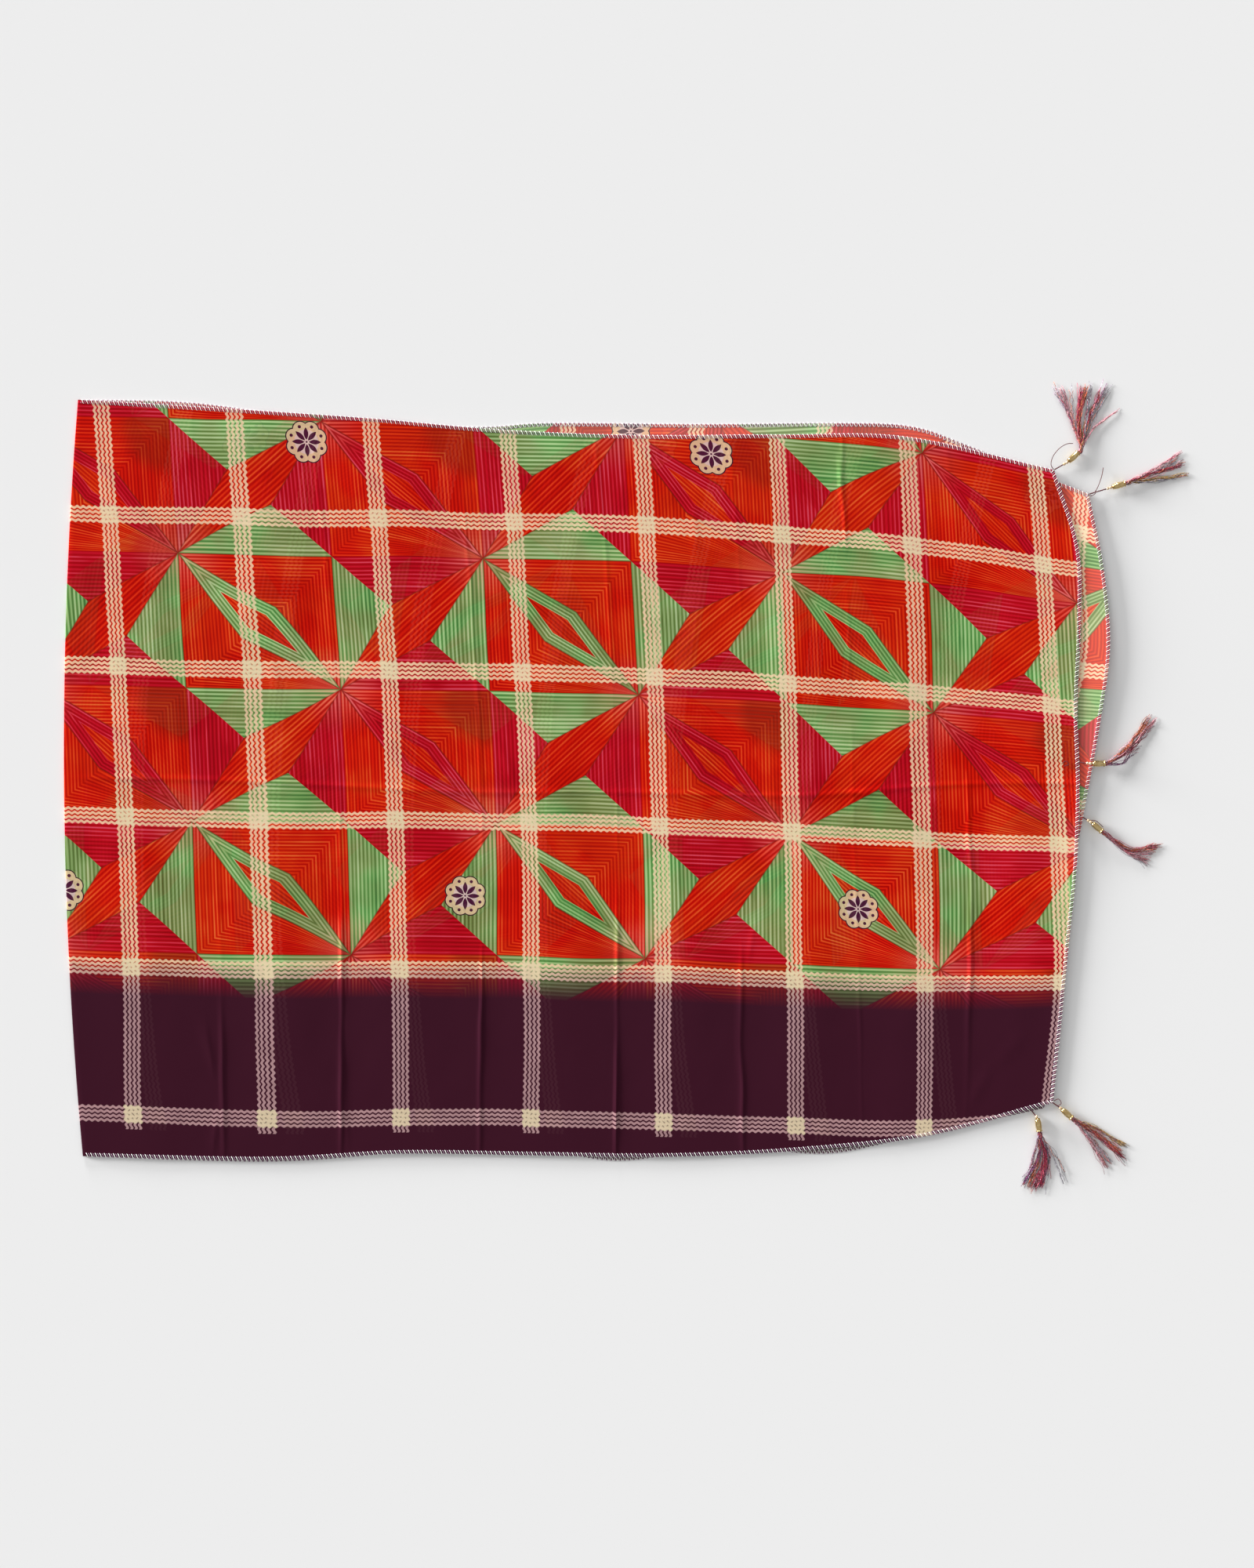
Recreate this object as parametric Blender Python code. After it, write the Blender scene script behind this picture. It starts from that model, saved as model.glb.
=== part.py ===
# A printed wrap scarf, folded once across its length and laid flat, with six beaded tassels.
# Metres, +Z up. The origin is the middle of the scarf's box, on the surface that it lies on.
# Upper and lower leaf are the two halves of the one cloth, joined by the fold at -X.

import math
from collections import namedtuple

import bmesh
import bpy
from mathutils import Vector

MM = 0.001

# Cloth wall
WALL = 1.0 * MM
LEAF_GAP = 0.5 * MM                      # clear space between the two leaves
FOLD_OUTER_RADIUS = WALL + LEAF_GAP / 2
FOLD_INNER_RADIUS = LEAF_GAP / 2
FOLD_STEPS = 4
ROW_COUNT = 22                           # rows of cloth from the bottom hem to the top hem
MID_CREASE_ROWS = (0.48, 0.5, 0.52)      # extra rows that carry the lengthwise crease
UPPER_STATION_STEP = 0.3                 # in sections
LOWER_STATION_COUNT = 24

# The short ends curl up a little off the surface, from CURL_START to CURL_END along X
CURL_START = 336 * MM
CURL_END = 446 * MM
CURL_LIFT = 6.0 * MM

# Where a section of a leaf meets the bottom and top hem, in mm. The bow is how far the middle of
# the section stands towards +X. The first section is the fold, the last one is the short end.
Section = namedtuple("Section", "bottom_x bottom_y top_x top_y bow")

UPPER_SECTIONS = (
    Section(-503.0, -342.5, -507.5, 356.5, -15.2),
    Section(-329.0, -346.0, -367.0, 348.0, 8.0),
    Section(-210.0, -340.0, -242.0, 339.5, 9.4),
    Section(-90.0, -341.5, -114.5, 328.5, 10.9),
    Section(29.5, -343.0, 10.0, 323.5, 13.0),
    Section(148.0, -338.0, 136.5, 324.0, 12.3),
    Section(265.5, -326.0, 259.5, 322.0, 10.9),
    Section(393.5, -293.0, 394.5, 291.5, 0.0),
)

LOWER_SECTIONS = (
    Section(-503.0, -342.5, -507.5, 356.5, -15.2),
    Section(-391.5, -346.5, -406.0, 354.0, -4.0),
    Section(-301.0, -346.5, -290.0, 340.0, 0.0),
    Section(-174.0, -336.5, -145.0, 331.5, 0.0),
    Section(-80.0, -337.0, -72.5, 335.0, 0.0),
    Section(-7.0, -346.5, 72.5, 334.0, 0.0),
    Section(94.0, -335.0, 203.0, 335.0, 0.0),
    Section(181.0, -340.0, 264.5, 331.5, 0.0),
    Section(246.5, -329.0, 315.5, 314.0, 0.0),
    Section(385.5, -298.0, 426.5, 269.0, 0.0),
)

# How far each short end stands out past the straight line between its corners, in mm, at even
# steps from the bottom corner to the top corner
UPPER_END_BULGE = (0.0, 7.3, 14.1, 21.4, 23.6, 21.4, 24.3, 22.5, 0.0)
LOWER_END_BULGE = (0.0, 3.6, 6.2, 10.2, 17.8, 25.4, 29.4, 18.9, 0.0)

# Packing creases across the upper leaf: the place is in sections from the fold
Crease = namedtuple("Crease", "place height")

CREASES = (
    Crease(0.78, 1.4),
    Crease(1.58, 1.1),
    Crease(2.64, 1.6),
    Crease(3.66, 1.2),
    Crease(4.62, 1.5),
    Crease(5.35, 1.0),
    Crease(6.30, 1.3),
)
CREASE_HALF_WIDTH = 0.09                 # in sections
BILLOW_HEIGHT = 1.2 * MM                 # rise of the cloth between two creases
MID_CREASE_HEIGHT = 0.9 * MM
MID_CREASE_HALF_WIDTH = 0.02             # share of the scarf's width
HEM_RELIEF = 0.25                        # share of creases and billows that is left at a hem
FOLD_CALM = 0.35                         # sections next to the fold where the relief dies out

# Tassels. The anchor is where the knot leaves the cloth's edge: leaf, along (in sections from the
# fold) and across (0 at the bottom hem, 1 at the top hem). The rest is in mm: the cap's back end
# and its mouth, the middle of the thread ends in the picture plane, how far the bunch bows to its
# left on the way there, and half its width at the ends.
Tassel = namedtuple("Tassel", "name leaf along across back mouth tip bow spread beads")

TASSELS = (
    Tassel("upper_top", "upper", 7.0, 1.0, back=(407.5, 299.0, 5.1), mouth=(416.8, 307.4, 4.1),
           tip=(422.0, 372.5), bow=4.0, spread=20.0, beads=2),
    Tassel("lower_top", "lower", 9.0, 1.0, back=(448.0, 275.5, 4.5), mouth=(460.2, 279.0, 3.8),
           tip=(519.8, 297.4), bow=2.0, spread=9.0, beads=2),
    Tassel("upper_middle", "upper", 7.0, 0.538, back=(428.8, 20.2, 9.2), mouth=(440.8, 20.4, 6.3),
           tip=(482.0, 57.0), bow=-9.0, spread=9.0, beads=2),
    Tassel("lower_middle", "lower", 9.0, 0.474, back=(429.5, -34.5, 5.1), mouth=(438.6, -42.2, 4.1),
           tip=(488.0, -61.5), bow=-3.0, spread=7.0, beads=2),
    Tassel("upper_bottom", "upper", 7.0, 0.0, back=(401.6, -298.6, 4.7), mouth=(410.8, -307.0, 3.9),
           tip=(456.0, -346.0), bow=3.0, spread=12.0, beads=1),
    Tassel("lower_bottom", "lower", 8.92, 0.0, back=(379.2, -307.0, 3.9), mouth=(381.0, -319.4, 3.7),
           tip=(375.5, -372.8), bow=5.0, spread=10.0, beads=1),
)

SEAM_GAP = 0.3 * MM
THREAD_RADIUS = 0.35 * MM
KNOT_RADIUS = 1.1 * MM
KNOT_LENGTH = 2.2 * MM
BEAD_RADIUS = 1.25 * MM
BEAD_LENGTH = 2.3 * MM
STEM_SIDES = 6

CAP_SIDES = 12
CAP_BODY_RADIUS = 2.8 * MM
CAP_RIM_RADIUS = 3.1 * MM
CAP_BACK_RADIUS = 1.5 * MM
CAP_BORE_RADIUS = 1.7 * MM
CAP_BORE_DEPTH = 4.5 * MM
CAP_RIM_LENGTH = 0.9 * MM

HEAD_RADIUS = 1.38 * MM
HEAD_CORE_RADIUS = 0.76 * MM             # ring between the inner and the outer strands
HEAD_SIDES = 12
HEAD_PROUD = 0.5 * MM                    # how far the head stands out of the cap's mouth
HEAD_TURN = math.radians(7)              # so that no two strands start one right above the other
STRAND_INSET = 0.06 * MM
STRAND_STEPS = 4
STRAND_TAPER = 0.93                      # width kept from one step to the next
STRAND_SHORTEST = 0.82                   # length of the shortest strand, the longest being 1
STRAND_TIP_HEIGHT = 0.65 * MM
GOLDEN_SHARE = 0.618034                  # spreads the strands' lengths evenly, in no order
BUNCH_LOOK_AHEAD = 0.02                  # share of the bunch's line that gives its direction

CLOTH_COLOUR = (0.62, 0.035, 0.012, 1.0)
THREAD_COLOUR = (0.42, 0.07, 0.10, 1.0)
BEAD_COLOUR = (0.85, 0.70, 0.48, 1.0)
GOLD_COLOUR = (0.80, 0.56, 0.20, 1.0)
SMOOTH_ANGLE = math.radians(40)

# Outline of a bead or knot on the thread: share of its length, share of its bulge
BULB_OUTLINE = ((0.0, 0.0), (0.2, 0.8), (0.5, 1.0), (0.8, 0.8), (1.0, 0.0))


def clear_scene():
    for thing in list(bpy.data.objects):
        bpy.data.objects.remove(thing, do_unlink=True)


def make_material(name, colour, roughness, metallic=0.0):
    material = bpy.data.materials.new(name)
    material.use_nodes = True
    shader = material.node_tree.nodes["Principled BSDF"]
    shader.inputs["Base Color"].default_value = colour
    shader.inputs["Roughness"].default_value = roughness
    shader.inputs["Metallic"].default_value = metallic
    return material


def add_object(name, bm, material):
    bmesh.ops.recalc_face_normals(bm, faces=bm.faces)
    mesh = bpy.data.meshes.new(name)
    bm.to_mesh(mesh)
    bm.free()
    mesh.shade_smooth()
    mesh.set_sharp_from_angle(angle=SMOOTH_ANGLE)
    mesh.materials.append(material)
    thing = bpy.data.objects.new(name, mesh)
    bpy.context.scene.collection.objects.link(thing)
    return thing


def smoothstep(value):
    value = min(max(value, 0.0), 1.0)
    return value * value * (3 - 2 * value)


def through_points(values, place):
    """Catmull-Rom curve through evenly spaced values, read at place (0 is the first value)."""
    last = len(values) - 1
    start = min(int(place), last - 1)
    t = place - start
    before = values[start - 1] if start > 0 else 2 * values[0] - values[1]
    after = values[start + 2] if start + 2 <= last else 2 * values[last] - values[last - 1]
    here, following = values[start], values[start + 1]
    tangent_here = (following - before) / 2
    tangent_following = (after - here) / 2
    return (here * (2 * t**3 - 3 * t**2 + 1) + tangent_here * (t**3 - 2 * t**2 + t)
            + following * (3 * t**2 - 2 * t**3) + tangent_following * (t**3 - t**2))


def leaf_point(leaf, along, across):
    """Place in the picture plane of a point of one leaf."""
    sections, bulge = LEAVES[leaf]
    xs = []
    ys = []
    for section in sections:
        x = section.bottom_x + (section.top_x - section.bottom_x) * across
        xs.append(x + section.bow * 4 * across * (1 - across))
        ys.append(section.bottom_y + (section.top_y - section.bottom_y) * across)
    xs[-1] += through_points(bulge, across * (len(bulge) - 1))
    return through_points(xs, along) * MM, through_points(ys, along) * MM


def curl(x):
    share = max(0.0, (x - CURL_START) / (CURL_END - CURL_START))
    return CURL_LIFT * share * share


def tent(distance, half_width):
    return max(0.0, 1 - abs(distance) / half_width)


def relief(along, across):
    """Height of the upper leaf's creases, and of its billows between them."""
    edges = [0.0] + [crease.place for crease in CREASES] + [float(len(UPPER_SECTIONS) - 1)]
    height = 0.0
    for crease in CREASES:
        height += crease.height * MM * tent(along - crease.place, CREASE_HALF_WIDTH)
    for start, end in zip(edges, edges[1:]):
        if start < along < end:
            height += BILLOW_HEIGHT * math.sin(math.pi * (along - start) / (end - start)) ** 2
    height += MID_CREASE_HEIGHT * tent(across - 0.5, MID_CREASE_HALF_WIDTH)
    towards_hem = 1 - (2 * across - 1) ** 4
    return height * (HEM_RELIEF + (1 - HEM_RELIEF) * towards_hem) * smoothstep(along / FOLD_CALM)


def upper_stations():
    """Stations from the fold to the short end, with three on each crease."""
    stations = [0.0]
    for crease in CREASES:
        for place in (crease.place - CREASE_HALF_WIDTH, crease.place, crease.place + CREASE_HALF_WIDTH):
            add_stations_up_to(stations, place)
    add_stations_up_to(stations, float(len(UPPER_SECTIONS) - 1))
    return stations


def add_stations_up_to(stations, place):
    start = stations[-1]
    steps = max(1, round((place - start) / UPPER_STATION_STEP))
    for step in range(1, steps + 1):
        stations.append(start + (place - start) * step / steps)


def cloth_rows():
    rows = [row / ROW_COUNT for row in range(ROW_COUNT + 1)]
    rows = [row for row in rows if abs(row - 0.5) > MID_CREASE_HALF_WIDTH]
    return sorted(rows + list(MID_CREASE_ROWS))


def section_loop(across, upper, lower):
    """Outer and inner points of the folded wall at one row, from the upper end to the lower end."""
    outer = []
    inner = []
    fold_x, fold_y = leaf_point("upper", 0.0, across)
    fold_centre_x = fold_x + FOLD_OUTER_RADIUS
    for along in reversed(upper):
        x, y = leaf_point("upper", along, across)
        x = max(x, fold_centre_x)
        under = WALL + LEAF_GAP + relief(along, across) + curl(x)
        outer.append(Vector((x, y, under + WALL)))
        inner.append(Vector((x, y, under)))
    for step in range(1, FOLD_STEPS):
        angle = math.pi * step / FOLD_STEPS
        for points, radius in ((outer, FOLD_OUTER_RADIUS), (inner, FOLD_INNER_RADIUS)):
            x = fold_centre_x - radius * math.sin(angle)
            z = FOLD_OUTER_RADIUS + radius * math.cos(angle)
            points.append(Vector((x, fold_y, z)))
    for along in lower:
        x, y = leaf_point("lower", along, across)
        x = max(x, fold_centre_x)
        outer.append(Vector((x, y, curl(x))))
        inner.append(Vector((x, y, curl(x) + WALL)))
    return outer, inner


def build_cloth(material):
    upper = upper_stations()
    lower_last = len(LOWER_SECTIONS) - 1
    lower = [lower_last * step / LOWER_STATION_COUNT for step in range(LOWER_STATION_COUNT + 1)]
    bm = bmesh.new()
    loops = []
    for across in cloth_rows():
        outer, inner = section_loop(across, upper, lower)
        loops.append([bm.verts.new(point) for point in outer + inner[::-1]])
    size = len(loops[0])
    for here, following in zip(loops, loops[1:]):
        for index in range(size):
            after = (index + 1) % size
            bm.faces.new((here[index], here[after], following[after], following[index]))
    for hem in (loops[0], loops[-1]):
        for index in range(size // 2 - 1):
            bm.faces.new((hem[index], hem[index + 1], hem[size - 2 - index], hem[size - 1 - index]))
    return add_object("scarf_cloth", bm, material)


def frame_along(direction):
    """Sideways and upward unit vectors square to a direction."""
    sideways = Vector((0, 0, 1)).cross(direction).normalized()
    return sideways, direction.cross(sideways).normalized()


def add_turned(bm, start, direction, profile, sides):
    """Body of revolution: profile rows are (distance along the axis, radius), the ends are capped."""
    sideways, upward = frame_along(direction)
    rings = []
    for distance, radius in profile:
        ring = []
        for side in range(sides):
            angle = 2 * math.pi * (side + 0.5) / sides
            offset = sideways * math.cos(angle) + upward * math.sin(angle)
            ring.append(bm.verts.new(start + direction * distance + offset * radius))
        rings.append(ring)
    for here, following in zip(rings, rings[1:]):
        for side in range(sides):
            after = (side + 1) % sides
            bm.faces.new((here[side], here[after], following[after], following[side]))
    bm.faces.new(rings[0])
    bm.faces.new(rings[-1])


def bulb(start, length, radius):
    """Profile rows of a bead or a knot on the thread."""
    return [(start + length * share, THREAD_RADIUS + (radius - THREAD_RADIUS) * width)
            for share, width in BULB_OUTLINE]


def build_beads(tassel, back, material):
    """The knot at the hem, the thread to the cap and the beads on it."""
    x, y = leaf_point(tassel.leaf, tassel.along, tassel.across)
    layer = WALL / 2 if tassel.leaf == "lower" else 1.5 * WALL + LEAF_GAP
    anchor = Vector((x, y, layer + curl(x)))
    direction = (back - anchor).normalized()
    start = anchor + direction * SEAM_GAP
    length = (back - start).length - SEAM_GAP
    profile = bulb(0.0, KNOT_LENGTH, KNOT_RADIUS)
    free = length - KNOT_LENGTH
    for bead in range(tassel.beads):
        bead_centre = KNOT_LENGTH + free * (bead + 1) / (tassel.beads + 1)
        profile += bulb(bead_centre - BEAD_LENGTH / 2, BEAD_LENGTH, BEAD_RADIUS)
    profile.append((length, THREAD_RADIUS))
    bm = bmesh.new()
    add_turned(bm, start, direction, profile, STEM_SIDES)
    return add_object(f"tassel_{tassel.name}_beads", bm, material)


def build_cap(tassel, back, mouth, material):
    """Turned metal cap with a rim at each end and a bore that takes the head of the bunch."""
    axis = mouth - back
    length = axis.length
    profile = [
        (0.0, CAP_BACK_RADIUS),
        (CAP_RIM_LENGTH, CAP_RIM_RADIUS),
        (2 * CAP_RIM_LENGTH, CAP_BODY_RADIUS),
        (length - 2 * CAP_RIM_LENGTH, CAP_BODY_RADIUS),
        (length - CAP_RIM_LENGTH, CAP_RIM_RADIUS),
        (length, CAP_RIM_RADIUS),
        (length, CAP_BORE_RADIUS),
        (length - CAP_BORE_DEPTH, CAP_BORE_RADIUS),
    ]
    bm = bmesh.new()
    add_turned(bm, back, axis.normalized(), profile, CAP_SIDES)
    return add_object(f"tassel_{tassel.name}_cap", bm, material)


def bunch_point(tassel, mouth, direction, share):
    """Middle line of the bunch of threads, from the cap's mouth to the thread ends."""
    tip = Vector((tassel.tip[0] * MM, tassel.tip[1] * MM, STRAND_TIP_HEIGHT))
    sideways = frame_along((tip - mouth).normalized())[0]
    middle = (mouth + tip) / 2 + sideways * tassel.bow * MM
    middle.z = mouth.z + direction.z * (middle - mouth).length
    middle.z = max(middle.z, HEAD_RADIUS + STRAND_TIP_HEIGHT)
    return mouth * (1 - share) ** 2 + middle * 2 * share * (1 - share) + tip * share**2


def add_head(bm, start, direction, length):
    """The wound head of the bunch. Returns the faces of its end that the strands grow from."""
    sideways, upward = frame_along(direction)
    end = start + direction * length

    def ring(centre, radius):
        points = []
        for side in range(HEAD_SIDES):
            angle = HEAD_TURN + 2 * math.pi * side / HEAD_SIDES
            offset = sideways * math.cos(angle) + upward * math.sin(angle)
            points.append(bm.verts.new(centre + offset * radius))
        return points

    back = ring(start, HEAD_RADIUS)
    front = ring(end, HEAD_RADIUS)
    core = ring(end, HEAD_CORE_RADIUS)
    middle = bm.verts.new(end)
    bm.faces.new(back)
    roots = []
    for side in range(HEAD_SIDES):
        after = (side + 1) % HEAD_SIDES
        bm.faces.new((back[side], back[after], front[after], front[side]))
        roots.append(bm.faces.new((front[side], front[after], core[after], core[side])))
    for side in range(0, HEAD_SIDES, 2):
        last = core[(side + 2) % HEAD_SIDES]
        roots.append(bm.faces.new((middle, core[side], core[side + 1], last)))
    return roots


def grow_strand(bm, face, tassel, mouth, direction, rank, strand_count):
    """Pull one root face out into a strand that comes down to the surface and fans out."""
    reach = STRAND_SHORTEST + (1 - STRAND_SHORTEST) * ((rank * GOLDEN_SHARE) % 1.0)
    target = tassel.spread * MM * (1 - 2 * rank / (strand_count - 1))
    centre = face.calc_center_median()
    sideways, upward = frame_along(direction)
    root_side = (centre - mouth).dot(sideways)
    root_up = (centre - mouth).dot(upward)
    for step in range(1, STRAND_STEPS + 1):
        share = reach * step / STRAND_STEPS
        here = bunch_point(tassel, mouth, direction, share)
        ahead = bunch_point(tassel, mouth, direction, share + BUNCH_LOOK_AHEAD)
        next_sideways, next_upward = frame_along((ahead - here).normalized())
        side_offset = root_side * (1 - share) + target * share
        next_centre = here + next_sideways * side_offset + next_upward * root_up * (1 - smoothstep(share))
        face = bmesh.ops.extrude_discrete_faces(bm, faces=[face])["faces"][0]
        for vert in face.verts:
            offset = vert.co - centre
            vert.co = next_centre + STRAND_TAPER * (
                next_sideways * offset.dot(sideways) + next_upward * offset.dot(upward))
        centre, sideways, upward = next_centre, next_sideways, next_upward


def build_threads(tassel, back, mouth, material):
    direction = (mouth - back).normalized()
    start = mouth - direction * (CAP_BORE_DEPTH - SEAM_GAP)
    head_end = mouth + direction * HEAD_PROUD
    bm = bmesh.new()
    roots = add_head(bm, start, direction, (head_end - start).length)
    bmesh.ops.recalc_face_normals(bm, faces=bm.faces)
    bmesh.ops.inset_individual(bm, faces=roots, thickness=STRAND_INSET)
    sideways = frame_along(direction)[0]
    roots.sort(key=lambda face: -face.calc_center_median().dot(sideways))
    for rank, face in enumerate(roots):
        grow_strand(bm, face, tassel, head_end, direction, rank, len(roots))
    return add_object(f"tassel_{tassel.name}_threads", bm, material)


def build_tassels(bead_material, gold_material, thread_material):
    for tassel in TASSELS:
        back = Vector(tassel.back) * MM
        mouth = Vector(tassel.mouth) * MM
        build_beads(tassel, back, bead_material)
        build_cap(tassel, back, mouth, gold_material)
        build_threads(tassel, back, mouth, thread_material)


LEAVES = {
    "upper": (UPPER_SECTIONS, UPPER_END_BULGE),
    "lower": (LOWER_SECTIONS, LOWER_END_BULGE),
}


def main():
    clear_scene()
    cloth = make_material("printed_cloth", CLOTH_COLOUR, 0.75)
    beads = make_material("glass_beads_on_thread", BEAD_COLOUR, 0.2)
    gold = make_material("gold_coloured_metal", GOLD_COLOUR, 0.28, 1.0)
    threads = make_material("metallic_thread", THREAD_COLOUR, 0.4)
    build_cloth(cloth)
    build_tassels(beads, gold, threads)


main()
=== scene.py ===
import math
import random

import bmesh
import bpy
import numpy as np
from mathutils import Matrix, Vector, noise


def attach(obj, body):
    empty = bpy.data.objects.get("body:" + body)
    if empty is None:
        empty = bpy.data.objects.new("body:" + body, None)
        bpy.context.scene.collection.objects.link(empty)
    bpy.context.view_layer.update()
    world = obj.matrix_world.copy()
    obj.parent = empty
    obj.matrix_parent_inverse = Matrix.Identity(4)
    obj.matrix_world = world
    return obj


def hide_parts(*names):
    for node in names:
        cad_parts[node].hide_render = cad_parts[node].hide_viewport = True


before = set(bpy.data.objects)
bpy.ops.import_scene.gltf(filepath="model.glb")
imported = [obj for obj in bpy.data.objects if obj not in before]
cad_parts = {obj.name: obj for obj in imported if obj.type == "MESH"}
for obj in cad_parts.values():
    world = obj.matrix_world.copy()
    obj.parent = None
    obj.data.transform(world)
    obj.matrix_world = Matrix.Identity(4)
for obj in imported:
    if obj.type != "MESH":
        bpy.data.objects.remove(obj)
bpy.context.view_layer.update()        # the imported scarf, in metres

# Lengths below are in millimetres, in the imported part's frame, and times mm in Blender.
# x runs from the fold to the short ends, y from the plum border up, z out of the table.
mm = 0.001

print("stage 1: helpers")


def linear(hexCode):
    # sRGB hex to the linear numbers that Blender's sockets take
    channels = [int(hexCode[i:i + 2], 16) / 255 for i in (1, 3, 5)]
    return [c / 12.92 if c <= 0.04045 else ((c + 0.055) / 1.055) ** 2.4 for c in channels] + [1.0]


def addNode(tree, kind, *values, named=None, **settings):
    # after a dot in kind stands the node's operation, or a Mix node's data type; values go to the
    # sockets in use, from the top down; a socket is linked, anything else is set
    kind, _, mode = kind.partition(".")
    node = tree.nodes.new(kind if kind.startswith("Node") else "ShaderNode" + kind)
    if mode:
        setattr(node, "data_type" if kind == "Mix" else "operation", mode)
    for name, setting in settings.items():
        setattr(node, name, setting)
    sockets = [socket for socket in node.inputs if socket.enabled]
    pairs = list(zip(sockets, values)) + [(node.inputs[key], value) for key, value in (named or {}).items()]
    for socket, value in pairs:
        if isinstance(value, bpy.types.NodeSocket):
            tree.links.new(value, socket)
        elif value is not None:
            socket.default_value = value
    return next((socket for socket in node.outputs if socket.enabled), node)


def newGroup(name, inputs, outputs):
    tree = bpy.data.node_groups.new(name, "ShaderNodeTree")
    for direction, sockets in (("INPUT", inputs), ("OUTPUT", outputs)):
        for socketName, kind in sockets:
            tree.interface.new_socket(socketName, in_out=direction, socket_type="NodeSocket" + kind)
    return tree


def newMaterial(name):
    material = bpy.data.materials.new(name)
    material.use_nodes = True
    material.node_tree.nodes.clear()
    return material, material.node_tree


def finishMaterial(tree, shader):
    addNode(tree, "OutputMaterial", shader)


def smoothstep(value):
    value = min(max(value, 0.0), 1.0)
    return value * value * (3 - 2 * value)


def throughPoints(values, place):
    # Catmull-Rom curve through evenly spaced values
    last = len(values) - 1
    start = min(int(place), last - 1)
    t = place - start
    before = values[start - 1] if start > 0 else 2 * values[0] - values[1]
    after = values[start + 2] if start + 2 <= last else 2 * values[last] - values[last - 1]
    here, following = values[start], values[start + 1]
    tangentHere = (following - before) / 2
    tangentFollowing = (after - here) / 2
    return (here * (2 * t**3 - 3 * t**2 + 1) + tangentHere * (t**3 - 2 * t**2 + t)
            + following * (3 * t**2 - 2 * t**3) + tangentFollowing * (t**3 - t**2))


def addObject(name, mesh, *materials):
    thing = bpy.data.objects.new(name, mesh)
    bpy.context.scene.collection.objects.link(thing)
    for material in materials:
        mesh.materials.append(material)
    return thing


def addTubes(name, lines, radius, sides, material, dyes=None):
    # one mesh of closed thin tubes along many lines; dyes holds a colour for each line
    verts, faces, colours = [], [], []
    for number, line in enumerate(lines):
        points = np.array(line, dtype=float)
        tangents = np.gradient(points, axis=0)
        tangents /= np.linalg.norm(tangents, axis=1)[:, None]
        side = np.cross(tangents, (0.0, 0.0, 1.0))
        side /= np.maximum(np.linalg.norm(side, axis=1), 1e-6)[:, None]
        up = np.cross(side, tangents)
        start = len(verts)
        ringCount = len(points)
        angles = 2 * math.pi * (np.arange(sides) + 0.5) / sides
        rings = (points[:, None, :] + radius * (np.cos(angles)[None, :, None] * side[:, None, :]
                                                + np.sin(angles)[None, :, None] * up[:, None, :]))
        verts.extend((rings.reshape(-1, 3) * mm).tolist())
        if dyes:
            colours.extend([dyes[number]] * (ringCount * sides))
        for ring in range(ringCount - 1):
            low = start + ring * sides
            for corner in range(sides):
                after = (corner + 1) % sides
                faces.append((low + corner, low + after, low + sides + after, low + sides + corner))
        faces.append(tuple(range(start, start + sides))[::-1])
        faces.append(tuple(range(start + (ringCount - 1) * sides, start + ringCount * sides)))
    mesh = bpy.data.meshes.new(name)
    mesh.from_pydata(verts, [], faces)
    mesh.shade_smooth()
    if dyes:
        dye = mesh.color_attributes.new("dye", "FLOAT_COLOR", "POINT")
        dye.data.foreach_set("color", np.array(colours, dtype=np.float32).ravel())
    return addObject(name, mesh, material)


print("stage 2: stage, light and camera")

studio = {
    "cameraHeight": 3000.0,     # straight above, as in the photo
    "frameHeight": 1450.0,      # what 2000 photo pixels cover, at 0.725 mm each
    "frameCentreY": 1.45,
    "sensor": 36.0,
    "floor": "#ECECEC",
    "floorSize": 90000.0,
    "skyTop": 0.575, "skyHorizon": 0.14,      # a large overhead diffuser in a darker room
    # name, direction towards the lamp, its apparent width in degrees and its share of the floor's light;
    # both are low and wide, which makes the long soft shadow at the right and below
    "lamps": (("softbox_left", (-1.0, 0.42, 0.21), 21.0, 0.36),
              ("softbox_back", (-0.25, 1.0, 0.16), 14.0, 0.12)),
}


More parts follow.
